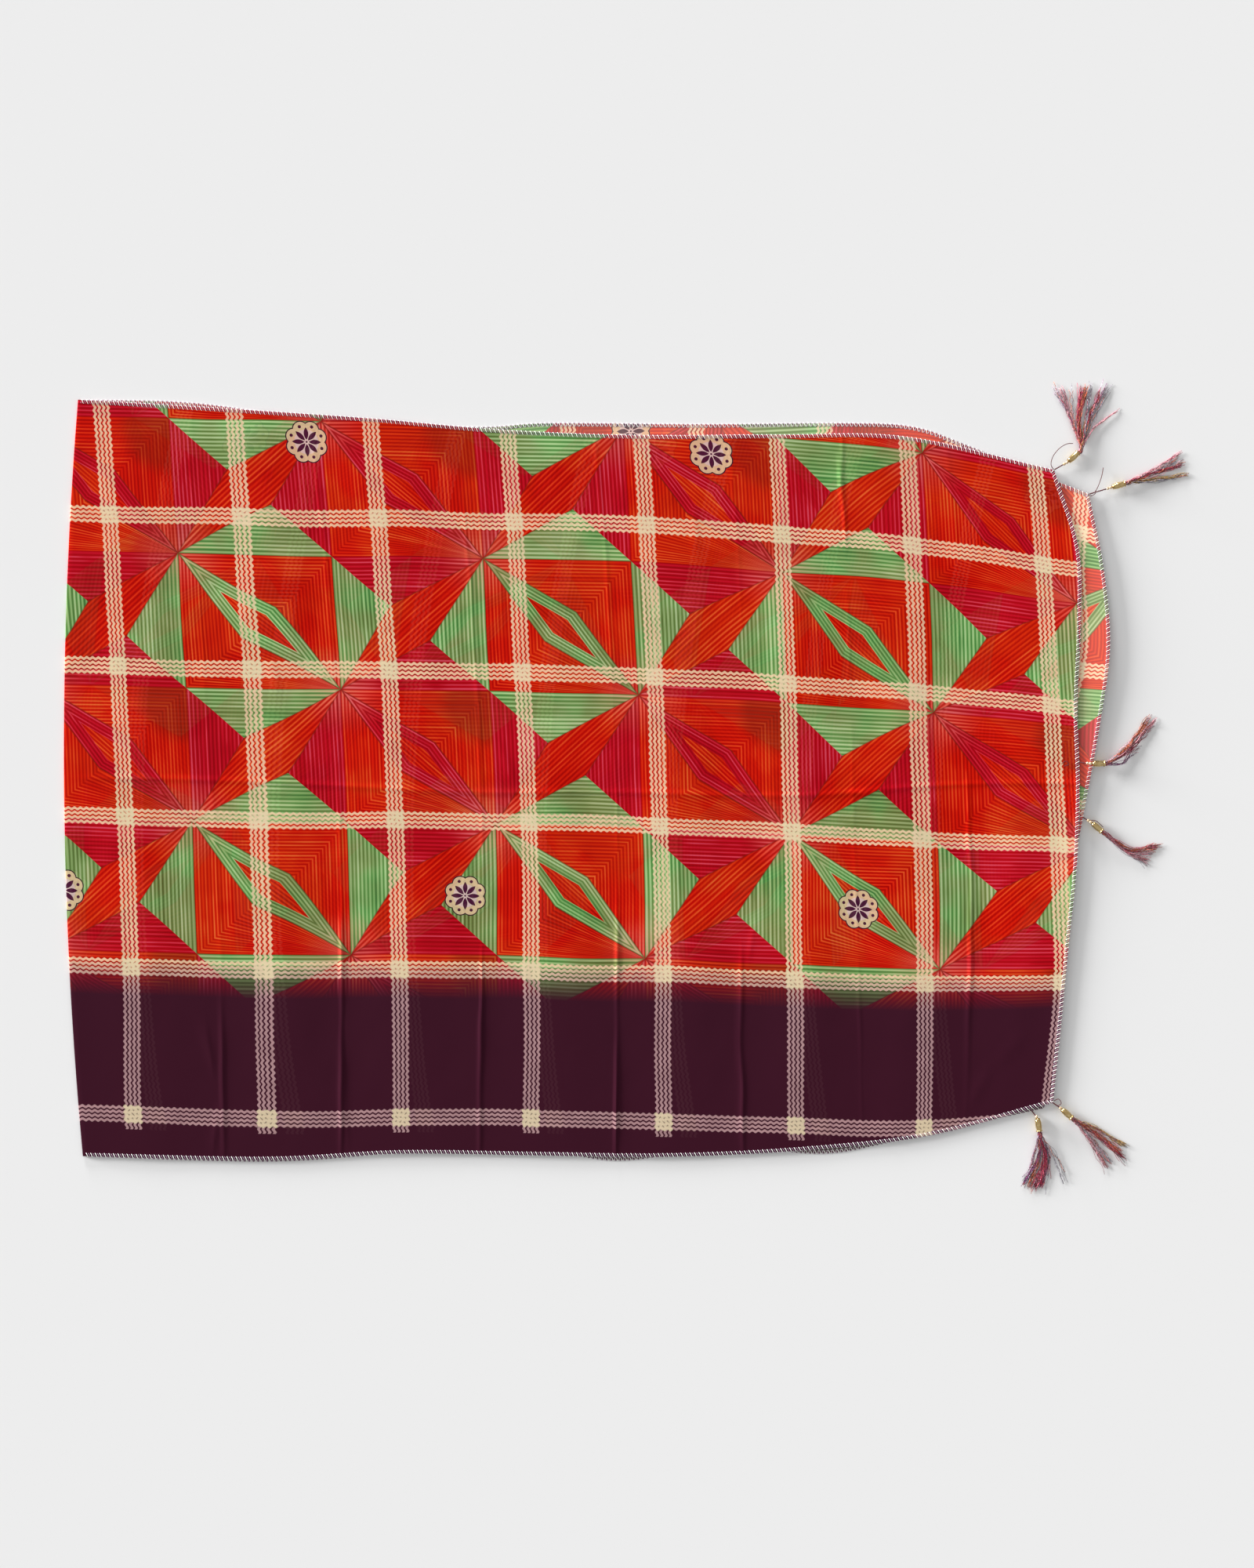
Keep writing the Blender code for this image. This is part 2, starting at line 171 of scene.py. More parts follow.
def makeStage():
    half = studio["floorSize"] / 2 * mm
    bm = bmesh.new()
    corners = ((-half, -half), (half, -half), (half, half), (-half, half))
    bm.faces.new([bm.verts.new((x, y, 0)) for x, y in corners])
    mesh = bpy.data.meshes.new("table_top")
    bm.to_mesh(mesh)
    bm.free()
    # matt painted board: even pale grey with no gloss
    material, tree = newMaterial("mattPaintedBoard")
    board = addNode(tree, "BsdfPrincipled", linear(studio["floor"]),
                    named={"Roughness": 0.95, "Specular IOR Level": 0.1})
    finishMaterial(tree, board)
    addObject("table_top", mesh, material)

    world = bpy.data.worlds.new("softStudio")
    world.use_nodes = True
    world.node_tree.nodes.clear()
    room = world.node_tree
    seen = addNode(room, "TexCoord").node.outputs["Generated"]
    upwards = addNode(room, "SeparateXYZ", seen).node.outputs["Z"]
    strength = addNode(room, "MapRange", upwards, 0.0, 0.6, studio["skyHorizon"], studio["skyTop"],
                       interpolation_type="SMOOTHSTEP")
    addNode(room, "OutputWorld", addNode(room, "Background", (1.0, 1.0, 1.0, 1.0), strength))
    bpy.context.scene.world = world

    for name, direction, width, share in studio["lamps"]:
        direction = Vector(direction).normalized()
        sun = bpy.data.lights.new(name, "SUN")
        sun.energy = share * math.pi / direction.z
        sun.angle = math.radians(width)
        lamp = bpy.data.objects.new(name, sun)
        lamp.rotation_euler = direction.to_track_quat("Z", "Y").to_euler()
        bpy.context.scene.collection.objects.link(lamp)

    lens = bpy.data.cameras.new("camera")
    lens.sensor_width = studio["sensor"]
    lens.lens = studio["sensor"] * studio["cameraHeight"] / studio["frameHeight"]
    camera = bpy.data.objects.new("camera", lens)
    camera.location = (0, studio["frameCentreY"] * mm, studio["cameraHeight"] * mm)
    bpy.context.scene.collection.objects.link(camera)
    bpy.context.scene.camera = camera
    bpy.context.scene.view_settings.view_transform = "Standard"


makeStage()

print("stage 3: printed cloth material")

# The print, in mm of cloth: s runs along the scarf from the first check line, t across it from
# the lowest one. It is a star lattice of striped wedges under a window check, with rosettes.
printed = {
    "cellLength": 136.85, "cellWidth": 122.0,     # one cell of the star lattice
    "hubS": 61.4, "hubT": 518.0,                  # a star's middle
    "petalA": 0.45, "petalB": 0.5, "bandWidth": 0.1235,
    "fieldPitch": 3.2, "wedgePitch": 3.7,         # between the printed stripes
    "checkPitchS": 122.0, "checkPitchT": 138.0, "checkWidth": 8.1,
    "checkLine": 4.05,          # between its wavy lines, 2.3 in truth, drawn coarser so that they show
    "waveLength": 5.6, "waveHeight": 0.72, "checkEnd": -14.0, "checkPaint": 0.87,
    "rosetteS": 306.0, "rosetteT": 207.0, "rosettePitchS": 366.0, "rosettePitchT": 414.0,
    "borderStart": 143.0, "borderFull": 112.0,
    "cream": "#F2D3AE", "mauve": "#C29A9C", "crossing": "#E2D2AE", "plum": "#3F1526",
    "lobe": "#DCC09A", "lilac": "#D9BFC4", "petal": "#4A1836", "outline": "#33142A",
    # the dark brown of the lozenge corners, and the three numbers for its reach, are painted shade for the
    # leaf below showing through
    "paintedCornerShade": "#6E1A08", "glow": "#F08E80", "edge": "#4A2010",
    "glowReach": 0.26, "glowStrength": 0.5,       # shares of a cell's diagonal and of full colour
    "paintedShadeCore": 0.22, "paintedShadeReach": 0.36, "paintedShadeStrength": 0.42,
    "edgeCore": 0.35, "edgeReach": 0.95, "edgeStrength": 0.42,
    "petalStart": 1.9, "petalEnd": 13.2, "petalFullness": 8.4, "eyeRadius": 0.9,
    "lobeOut": 12.0, "lobeRadius": 6.8, "lobeOutline": 7.8, "coreRadius": 11.0,
    "dotOut": 14.6, "dotRadius": 1.5,
    "crossingPaint": 0.9, "lobePaint": 0.88, "corePaint": 0.7,
}

# stripe colours from the darkest line to the brightest streak
dyes = {
    "red": ((0.0, "#940200"), (0.35, "#BE0A02"), (0.7, "#D61C05"), (1.0, "#E24A1E")),
    "orange": ((0.0, "#9C0C02"), (0.35, "#C41C04"), (0.7, "#D8360A"), (1.0, "#E46C30")),
    "crimson": ((0.0, "#84000C"), (0.35, "#AE0414"), (0.7, "#C41028"), (1.0, "#D84A60")),
    "green": ((0.0, "#4A5426"), (0.35, "#708C4C"), (0.7, "#98AC74"), (1.0, "#BCD09E")),
    "mint": ((0.0, "#2E6634"), (0.35, "#5E984E"), (0.7, "#92BC78"), (1.0, "#B8DA9C")),
}


def makeStarPrint():
    t = newGroup("starPrint", [("Place", "Vector")], [("Colour", "Color")])
    place = addNode(t, "NodeGroupInput")
    length, width = printed["cellLength"], printed["cellWidth"]
    mmPerDiagonal = 1 / math.hypot(1 / length, 1 / width)
    lattice = addNode(t, "VectorMath.MULTIPLY_ADD", place, (1 / length, -1 / width, 0.0),
                      (-printed["hubS"] / length, printed["hubT"] / width, 0.0))
    cell = addNode(t, "VectorMath.FLOOR", lattice)
    inCell = addNode(t, "SeparateXYZ", addNode(t, "VectorMath.FRACTION", lattice)).node
    u, v = inCell.outputs["X"], inCell.outputs["Y"]
    halves = addNode(t, "VectorMath.MULTIPLY", cell, (0.5, 0.5, 0.0))
    parity = addNode(t, "SeparateXYZ", addNode(t, "VectorMath.FRACTION", halves)).node
    evenColumn = addNode(t, "Math.LESS_THAN", parity.outputs["X"], 0.25)
    lozengeCell = addNode(t, "Math.COMPARE", parity.outputs["X"], parity.outputs["Y"], 0.1)

    # diagonal coordinates; the other kind of cell is the same one mirrored
    uBack = addNode(t, "Math.SUBTRACT", 1.0, u)
    vBack = addNode(t, "Math.SUBTRACT", 1.0, v)
    uTurned = addNode(t, "Mix.FLOAT", lozengeCell, uBack, u)
    off = addNode(t, "Math.SUBTRACT", uTurned, v)
    offSize = addNode(t, "Math.ABSOLUTE", off)
    along = addNode(t, "Math.MULTIPLY", addNode(t, "Math.ADD", uTurned, v), 0.5)
    alongBack = addNode(t, "Math.SUBTRACT", 1.0, along)
    toEnd = addNode(t, "Math.MINIMUM", along, alongBack)
    slope = addNode(t, "Mix.FLOAT", lozengeCell, printed["petalB"], printed["petalA"])
    halfWidth = addNode(t, "Math.MULTIPLY", slope, toEnd)
    depth = addNode(t, "Math.SUBTRACT", halfWidth, offSize)
    inPetal = addNode(t, "Math.GREATER_THAN", depth, 0.0)
    inHeart = addNode(t, "Math.GREATER_THAN", depth, printed["bandWidth"])
    inBand = addNode(t, "Math.SUBTRACT", inPetal, inHeart)

    # wedges between the petals: green and crimson in turn
    uMinusV = addNode(t, "Math.SUBTRACT", u, v)
    product = addNode(t, "Math.MULTIPLY", off, uMinusV)
    upright = addNode(t, "Math.LESS_THAN", product, 0.0)
    greenWedge = addNode(t, "Math.ABSOLUTE", addNode(t, "Math.SUBTRACT", upright, evenColumn))

    # distance across the stripes, in mm
    uMm = addNode(t, "Math.MULTIPLY", u, length)
    vMm = addNode(t, "Math.MULTIPLY", v, width)
    uBackMm = addNode(t, "Math.MULTIPLY", uBack, length)
    nested = addNode(t, "Math.MINIMUM", vMm, uBackMm)
    fanWidth = addNode(t, "Math.MULTIPLY_ADD", uBack, 0.95, vBack)
    fanShare = addNode(t, "Math.DIVIDE", vBack, fanWidth)
    fan = addNode(t, "Math.MULTIPLY", fanShare, length)
    fanned = addNode(t, "Math.MINIMUM", uMm, fan)
    rightOf = addNode(t, "Math.GREATER_THAN", off, 0.0)
    fieldAcross = addNode(t, "Mix.FLOAT", rightOf, fanned, nested)
    depthMm = addNode(t, "Math.MULTIPLY", depth, mmPerDiagonal)
    offMm = addNode(t, "Math.MULTIPLY", off, mmPerDiagonal)
    heartAcross = addNode(t, "Mix.FLOAT", inHeart, fieldAcross, offMm)
    lozengeAcross = addNode(t, "Mix.FLOAT", inBand, heartAcross, depthMm)
    wedgeAcross = addNode(t, "Mix.FLOAT", upright, vMm, uMm)
    petalAcross = addNode(t, "Mix.FLOAT", inPetal, wedgeAcross, offMm)
    across = addNode(t, "Mix.FLOAT", lozengeCell, petalAcross, lozengeAcross)

    # stripes: a regular ripple, uneven streaks, and a slow drift of tone and of hue over the cloth
    pitchTurn = addNode(t, "Mix.FLOAT", lozengeCell, 2 * math.pi / printed["wedgePitch"],
                        2 * math.pi / printed["fieldPitch"])
    stripeTurn = addNode(t, "Math.MULTIPLY", across, pitchTurn)
    ripple = addNode(t, "Math.COSINE", stripeTurn)
    cellSplit = addNode(t, "SeparateXYZ", cell).node
    cellSeed = addNode(t, "Math.MULTIPLY_ADD", cellSplit.outputs["X"], 7.3, cellSplit.outputs["Y"])
    placeSlow = addNode(t, "VectorMath.MULTIPLY", place, (0.018, 0.018, 0.0))
    slow = addNode(t, "TexNoise", placeSlow, noise_dimensions="3D", named={"Scale": 1.0, "Detail": 2.0}).node
    drift, hues = slow.outputs[0], addNode(t, "SeparateXYZ", slow.outputs[1]).node
    streakAcross = addNode(t, "Math.MULTIPLY", across, 0.2)
    streakPlace = addNode(t, "CombineXYZ", streakAcross, cellSeed, drift)
    streaks = addNode(t, "TexNoise", streakPlace, noise_dimensions="3D",
                      named={"Scale": 1.0, "Detail": 3.0, "Roughness": 0.7})
    unevenRipple = addNode(t, "Math.MULTIPLY", ripple, streaks)
    tone = addNode(t, "Math.MULTIPLY_ADD", unevenRipple, -0.6, streaks)
    tone = addNode(t, "Math.MULTIPLY_ADD", addNode(t, "Math.SUBTRACT", drift, 0.5), 0.6, tone)

    # streaks turn paler towards each star's middle
    diagonals = addNode(t, "SeparateXYZ", lattice).node
    a, b = diagonals.outputs["X"], diagonals.outputs["Y"]
    p = addNode(t, "Math.MULTIPLY", addNode(t, "Math.ADD", a, b), 0.5)
    q = addNode(t, "Math.MULTIPLY", addNode(t, "Math.SUBTRACT", a, b), 0.5)
    pOff = addNode(t, "Math.SUBTRACT", p, addNode(t, "Math.ROUND", p))
    qOff = addNode(t, "Math.SUBTRACT", q, addNode(t, "Math.ROUND", q))
    hubPlace = addNode(t, "CombineXYZ", pOff, qOff, 0.0)
    hubDistance = addNode(t, "VectorMath.LENGTH", hubPlace)
    glow = addNode(t, "MapRange", hubDistance, 0.0, printed["glowReach"], printed["glowStrength"],
                   0.0, interpolation_type="SMOOTHSTEP")
    pale = addNode(t, "Math.MULTIPLY", glow, addNode(t, "MapRange", tone, 0.35, 0.9, 0.1, 1.0))
    # painted shade: a darker patch in the upper right corner of every second lozenge, standing in for the
    # leaf below showing through
    fromCorner = addNode(t, "VectorMath.DISTANCE", addNode(t, "CombineXYZ", uBack, v, 0.0), (0.02, 0.1, 0.0))
    paintedCornerShade = addNode(t, "MapRange", fromCorner, printed["paintedShadeCore"], printed["paintedShadeReach"],
                    printed["paintedShadeStrength"], 0.0, interpolation_type="SMOOTHSTEP")
    redLozenge = addNode(t, "Math.SUBTRACT", lozengeCell, evenColumn, use_clamp=True)
    paintedShadeHere = addNode(t, "Math.MULTIPLY", redLozenge, paintedCornerShade)

    ramps = {}
    for dye, stops in dyes.items():
        ramps[dye] = addNode(t, "ValToRGB", tone)
        elements = ramps[dye].node.color_ramp.elements
        while len(elements) < len(stops):
            elements.new(0.5)
        for element, (position, hexCode) in zip(elements, stops):
            element.position = position
            element.color = linear(hexCode)
    warmer = addNode(t, "MapRange", hues.outputs["Y"], 0.42, 0.62, 0.0, 0.9, interpolation_type="SMOOTHSTEP")
    cooler = addNode(t, "MapRange", hues.outputs["Z"], 0.4, 0.62, 0.0, 1.0, interpolation_type="SMOOTHSTEP")
    field = addNode(t, "Mix.RGBA", warmer, ramps["red"], ramps["orange"])
    leaf = addNode(t, "Mix.RGBA", cooler, ramps["green"], ramps["mint"])
    bandColour = addNode(t, "Mix.RGBA", evenColumn, ramps["crimson"], leaf)
    lozenge = addNode(t, "Mix.RGBA", inBand, field, bandColour)
    wedges = addNode(t, "Mix.RGBA", greenWedge, ramps["crimson"], leaf)
    petals = addNode(t, "Mix.RGBA", inPetal, wedges, field)
    colour = addNode(t, "Mix.RGBA", lozengeCell, petals, lozenge)
    # painted shade in the lozenge corners
    colour = addNode(t, "Mix.RGBA", paintedShadeHere, colour, linear(printed["paintedCornerShade"]))
    colour = addNode(t, "Mix.RGBA", pale, colour, linear(printed["glow"]))

    # thin dark lines round the petals and round every second lozenge
    petalEdge = addNode(t, "Math.ABSOLUTE", depthMm)
    vBackMm = addNode(t, "Math.MULTIPLY", vBack, width)
    sideEdge = addNode(t, "Math.MINIMUM", uMm, uBackMm)
    sideEdge = addNode(t, "Math.MINIMUM", sideEdge, vMm)
    cellEdge = addNode(t, "Math.MINIMUM", sideEdge, vBackMm)
    plainCell = addNode(t, "Math.SUBTRACT", 1.0, addNode(t, "Math.MULTIPLY", evenColumn, lozengeCell))
    shownEdge = addNode(t, "Math.MULTIPLY_ADD", plainCell, 9.0, cellEdge)
    edge = addNode(t, "Math.MINIMUM", petalEdge, shownEdge)
    edgeStrength = addNode(t, "MapRange", edge, printed["edgeCore"], printed["edgeReach"],
                           printed["edgeStrength"], 0.0)
    colour = addNode(t, "Mix.RGBA", edgeStrength, colour, linear(printed["edge"]))
    addNode(t, "NodeGroupOutput", colour)
    return t


def makeWavyCheck():
    t = newGroup("wavyCheck", [("Place", "Vector")], [("Cover", "Float"), ("Solid", "Float")])
    place = addNode(t, "NodeGroupInput")
    parts = addNode(t, "SeparateXYZ", place).node
    s, across = parts.outputs["X"], parts.outputs["Y"]
    covers, insides = [], []
    for here, pitch, other in ((s, printed["checkPitchS"], across), (across, printed["checkPitchT"], s)):
        wrapped = addNode(t, "Math.WRAP", here, pitch / 2, -pitch / 2)
        phase = addNode(t, "Math.MULTIPLY", other, 2 * math.pi / printed["waveLength"])
        wave = addNode(t, "Math.SINE", phase)
        bent = addNode(t, "Math.MULTIPLY_ADD", wave, printed["waveHeight"], wrapped)
        inside = addNode(t, "Math.LESS_THAN", addNode(t, "Math.ABSOLUTE", bent), printed["checkWidth"])
        turns = addNode(t, "Math.MULTIPLY", bent, 1 / printed["checkLine"])
        fromMiddle = addNode(t, "Math.SUBTRACT", addNode(t, "Math.FRACT", turns), 0.5)
        fromLine = addNode(t, "Math.ABSOLUTE", fromMiddle)
        line = addNode(t, "MapRange", fromLine, 0.24, 0.36, 1.0, 0.0)
        covers.append((line, inside))
        insides.append(inside)
    # the lines across the scarf stop short of the plum hem
    beforeEnd = addNode(t, "Math.GREATER_THAN", across, printed["checkEnd"])
    insides[0] = addNode(t, "Math.MULTIPLY", insides[0], beforeEnd)
    vertical = addNode(t, "Math.MULTIPLY", covers[0][0], insides[0])
    horizontal = addNode(t, "Math.MULTIPLY", covers[1][0], insides[1])
    # a crossing is nearly full, with small gaps where both sets of lines leave one
    both = addNode(t, "Math.MULTIPLY_ADD", addNode(t, "Math.MAXIMUM", vertical, horizontal), 0.55, 0.45)
    crossing = addNode(t, "Math.MULTIPLY", insides[0], insides[1])
    solid = addNode(t, "Math.MULTIPLY", crossing, both)
    cover = addNode(t, "Math.MAXIMUM", vertical, horizontal)
    addNode(t, "NodeGroupOutput", cover, solid)
    return t


def makeRosette():
    t = newGroup("rosette", [("Place", "Vector")],
                 [("Lobes", "Float"), ("Core", "Float"), ("Petals", "Float"), ("Outline", "Float")])
    place = addNode(t, "NodeGroupInput")
    parts = addNode(t, "SeparateXYZ", place).node
    rows = addNode(t, "Math.MULTIPLY", parts.outputs["Y"], 1 / printed["rosettePitchT"])
    row = addNode(t, "Math.FLOOR", rows)
    # every second row is shifted by one check square
    shift = addNode(t, "Math.MULTIPLY_ADD", row, printed["checkPitchS"], -printed["rosetteS"])
    s = addNode(t, "Math.WRAP", addNode(t, "Math.ADD", parts.outputs["X"], shift),
                printed["rosettePitchS"] / 2, -printed["rosettePitchS"] / 2)
    fromRow = addNode(t, "Math.SUBTRACT", parts.outputs["Y"], printed["rosetteT"])
    across = addNode(t, "Math.WRAP", fromRow, printed["rosettePitchT"] / 2, -printed["rosettePitchT"] / 2)
    radius = addNode(t, "VectorMath.LENGTH", addNode(t, "CombineXYZ", s, across, 0.0))
    angle = addNode(t, "Math.ARCTAN2", across, s)
    eighth = math.pi / 8
    toPetal = addNode(t, "Math.WRAP", angle, eighth, -eighth)
    toLobe = addNode(t, "Math.WRAP", addNode(t, "Math.SUBTRACT", angle, eighth), eighth, -eighth)
    places = []
    for turned in (toPetal, toLobe):
        cosine = addNode(t, "Math.COSINE", turned)
        out = addNode(t, "Math.MULTIPLY", radius, cosine)
        side = addNode(t, "Math.MULTIPLY", radius, addNode(t, "Math.SINE", turned))
        places.append((out, side))
    (petalOut, petalSide), (lobeOut, lobeSide) = places
    # a petal is a pointed leaf from 2 to 13 mm out, widest in its middle
    share = addNode(t, "MapRange", petalOut, printed["petalStart"], printed["petalEnd"], 0.0, 1.0)
    rest = addNode(t, "Math.SUBTRACT", 1.0, share)
    fullness = addNode(t, "Math.MULTIPLY", share, rest)
    leafWidth = addNode(t, "Math.MULTIPLY", fullness, printed["petalFullness"])
    petal = addNode(t, "Math.LESS_THAN", addNode(t, "Math.ABSOLUTE", petalSide), leafWidth)
    eye = addNode(t, "Math.LESS_THAN", radius, printed["eyeRadius"])
    lobePlace = addNode(t, "CombineXYZ", lobeOut, lobeSide, 0.0)
    fromLobe = addNode(t, "VectorMath.DISTANCE", lobePlace, (printed["lobeOut"], 0.0, 0.0))
    fromDot = addNode(t, "VectorMath.DISTANCE", lobePlace, (printed["dotOut"], 0.0, 0.0))
    dot = addNode(t, "Math.LESS_THAN", fromDot, printed["dotRadius"])
    light = addNode(t, "Math.LESS_THAN", fromLobe, printed["lobeRadius"])
    core = addNode(t, "Math.LESS_THAN", radius, printed["coreRadius"])
    light = addNode(t, "Math.MAXIMUM", light, core)
    outer = addNode(t, "Math.LESS_THAN", fromLobe, printed["lobeOutline"])
    line = addNode(t, "Math.SUBTRACT", outer, light, use_clamp=True)
    inks = addNode(t, "Math.MAXIMUM", addNode(t, "Math.MAXIMUM", petal, eye), dot)
    addNode(t, "NodeGroupOutput", light, core, inks, line)
    return t


def makeScarfPrint():
    t = newGroup("scarfPrint", [("Place", "Vector")], [("Colour", "Color")])
    place = addNode(t, "NodeGroupInput")
    stars = addNode(t, "Group", place, node_tree=makeStarPrint())
    check = addNode(t, "Group", place, node_tree=makeWavyCheck()).node
    rosette = addNode(t, "Group", place, node_tree=makeRosette()).node
    across = addNode(t, "SeparateXYZ", place).node.outputs["Y"]
    fade = addNode(t, "MapRange", across, printed["borderStart"], printed["borderFull"], 0.0, 1.0)
    border = addNode(t, "Math.POWER", fade, 0.5)
    ground = addNode(t, "Mix.RGBA", border, stars, linear(printed["plum"]))
    thread = addNode(t, "Mix.RGBA", border, linear(printed["cream"]), linear(printed["mauve"]))
    # the paint is thicker in some places than in others
    paint = addNode(t, "TexNoise", place, named={"Scale": 0.055, "Detail": 3.0, "Roughness": 0.65})
    paint = addNode(t, "MapRange", paint, 0.35, 0.62, 0.8, 1.0)
    checkPaint = addNode(t, "Math.MULTIPLY", check.outputs["Cover"], printed["checkPaint"])
    coverPaint = addNode(t, "Math.MULTIPLY", checkPaint, paint)
    checked = addNode(t, "Mix.RGBA", coverPaint, ground, thread)
    solidPaint = addNode(t, "Math.MULTIPLY", check.outputs["Solid"], printed["crossingPaint"])
    crossed = addNode(t, "Mix.RGBA", solidPaint, checked, linear(printed["crossing"]))
    lobePaint = addNode(t, "Math.MULTIPLY", rosette.outputs["Lobes"], printed["lobePaint"])
    colour = addNode(t, "Mix.RGBA", lobePaint, crossed, linear(printed["lobe"]))
    corePaint = addNode(t, "Math.MULTIPLY", rosette.outputs["Core"], printed["corePaint"])
    colour = addNode(t, "Mix.RGBA", corePaint, colour, linear(printed["lilac"]))
    colour = addNode(t, "Mix.RGBA", rosette.outputs["Petals"], colour, linear(printed["petal"]))
    colour = addNode(t, "Mix.RGBA", rosette.outputs["Outline"], colour, linear(printed["outline"]))
    addNode(t, "NodeGroupOutput", colour)
    return t


viscose = {
    "through": 0.16,            # how much the leaf below darkens the one over it
    "glimpse": 0.018,           # and how much of its pale lines comes through as light
    # the wrong side is brighter and a little paler
    "reverseGain": 1.25, "reverseFade": 0.1, "reverseTint": "#F0F0D8",
    "roughness": 0.8,
    "gloss": 0.04,              # printed viscose hardly shines
    "weavePitch": 1.5,          # real threads are 0.4 mm apart, drawn coarser so that they show
    "weaveDepth": 0.03,
}


def makePrintedViscose(name, scarfPrint, faded):
    # viscose voile, plain woven and screen printed: soft and nearly matt, and thin enough that the
    # leaf below shows through faintly
    material, t = newMaterial(name)
    place = addNode(t, "VectorMath.MULTIPLY", addNode(t, "UVMap", uv_map="print"), (1000.0, 1000.0, 0.0))
    below = addNode(t, "VectorMath.MULTIPLY", addNode(t, "UVMap", uv_map="through"), (1000.0, 1000.0, 0.0))
    own = addNode(t, "Group", place, node_tree=scarfPrint)
    other = addNode(t, "Group", below, node_tree=scarfPrint)
    colour = addNode(t, "Mix.RGBA", viscose["through"], own, other, blend_type="MULTIPLY")
    colour = addNode(t, "Mix.RGBA", viscose["glimpse"], colour, other)
    if faded:
        colour = addNode(t, "VectorMath.SCALE", colour, named={"Scale": viscose["reverseGain"]})
        colour = addNode(t, "Mix.RGBA", viscose["reverseFade"], colour, linear(viscose["reverseTint"]))
    parts = addNode(t, "SeparateXYZ", place).node
    turn = 2 * math.pi / viscose["weavePitch"]
    warpTurn = addNode(t, "Math.MULTIPLY", parts.outputs["X"], turn)
    warp = addNode(t, "Math.SINE", warpTurn)
    weftTurn = addNode(t, "Math.MULTIPLY", parts.outputs["Y"], turn)
    weft = addNode(t, "Math.SINE", weftTurn)
    weave = addNode(t, "Math.MULTIPLY", warp, weft)
    bump = addNode(t, "Bump", named={
        "Height": weave, "Strength": 0.5, "Distance": viscose["weaveDepth"] * mm})
    shader = addNode(t, "BsdfPrincipled", colour, named={
        "Roughness": viscose["roughness"], "Normal": bump, "Specular IOR Level": viscose["gloss"]})
    finishMaterial(t, shader)
    return material


scarfPrint = makeScarfPrint()
printedFace = makePrintedViscose("printedViscoseFace", scarfPrint, faded=False)
printedReverse = makePrintedViscose("printedViscoseReverse", scarfPrint, faded=True)

print("stage 4: folded cloth")

cloth = {
    "thickness": 0.3,
    "lowerHeight": 0.35,        # middle of the lower leaf over the table
    "upperHeight": 2.3,         # middle of the upper leaf where it lies flat
    "curlStart": 336.0, "curlEnd": 446.0, "curlLift": 6.0,
    "upperStations": 240, "lowerStations": 60, "foldSteps": 8, "rows": 84,
    "fineReach": 8.0, "fineStep": 1.2,      # closer mesh lines beside a crease
    "billow": 0.9, "hemRelief": 0.45, "foldCalm": 0.3,
    "midCrease": 0.55, "midCreaseWidth": 2.6,
    "ripple": 0.6, "ripplePitch": 70.0, "fineRipple": 0.2, "fineRipplePitch": 19.0,
    "printSag": 3.2, "printWobble": 1.6, "wobblePitch": 85.0,
    "firstCheckS": 122.0, "lastCheckS": 732.0,
    "flat": (0.70, 1.88),
}

# where a section of a leaf meets the bottom and top hem, how far its middle stands towards +x,
# and the print's t at both hems
upperSections = (
    (-503.0, -342.5, -507.5, 356.5, -15.2, -40.5, 654.8),    # the fold
    (-333.5, -346.0, -364.0, 347.8, 5.8, -38.3, 649.2),
    (-209.5, -340.0, -238.0, 339.2, 8.8, -33.6, 642.7),
    (-89.0, -341.5, -110.5, 328.2, 7.6, -34.2, 634.8),
    (33.0, -342.9, 13.0, 323.5, 6.8, -32.2, 632.9),
    (156.5, -337.4, 138.0, 324.0, 3.9, -23.8, 643.3),
    (275.5, -324.0, 258.0, 322.0, 5.0, -8.0, 651.9),
    (393.5, -293.0, 394.5, 291.5, 0.0, 15.0, 650.0),         # the short end
)
lowerSections = (
    (-503.0, -342.5, -507.5, 356.5, -15.2, -38.8, 654.8),
    (-391.5, -346.5, -406.0, 354.0, -4.0, -38.0, 650.0),
    (-301.0, -346.5, -290.0, 340.0, 0.0, -37.0, 642.0),
    (-174.0, -336.5, -145.0, 331.5, 0.0, -37.0, 634.0),
    (-80.0, -337.0, -72.5, 335.0, 0.0, -38.0, 630.0),
    (-7.0, -346.5, 72.5, 334.0, 0.0, -42.0, 627.0),
    (94.0, -335.0, 203.0, 335.0, 0.0, -44.0, 624.0),
    (181.0, -340.0, 264.5, 331.5, 0.0, -46.0, 619.0),
    (246.5, -329.0, 315.5, 314.0, 0.0, -48.0, 611.0),
    (385.5, -298.0, 426.5, 269.0, 0.0, -36.3, 594.7),
)
# how far the short ends stand out past a straight line, from the bottom corner to the top one
upperEndBulge = (0.0, 7.3, 14.1, 21.4, 23.6, 21.4, 24.3, 22.5, 0.0)
lowerEndBulge = (0.0, 3.6, 6.2, 10.2, 17.8, 25.4, 29.4, 18.9, 0.0)
# how far the last check line is pulled back at the short end, from the bottom corner to the top one
lastCheckPull = (8.0, -5.0, -3.5, -1.5, 0.5, 4.0)
# the print's s along the lower leaf's short end, from the bottom corner to the top one
lowerEndS = (-940.0, -952.0, -967.0, -980.0, -993.0, -1006.0, -1003.0, -1001.0, -982.0)
leaves = {"upper": (upperSections, upperEndBulge), "lower": (lowerSections, lowerEndBulge)}

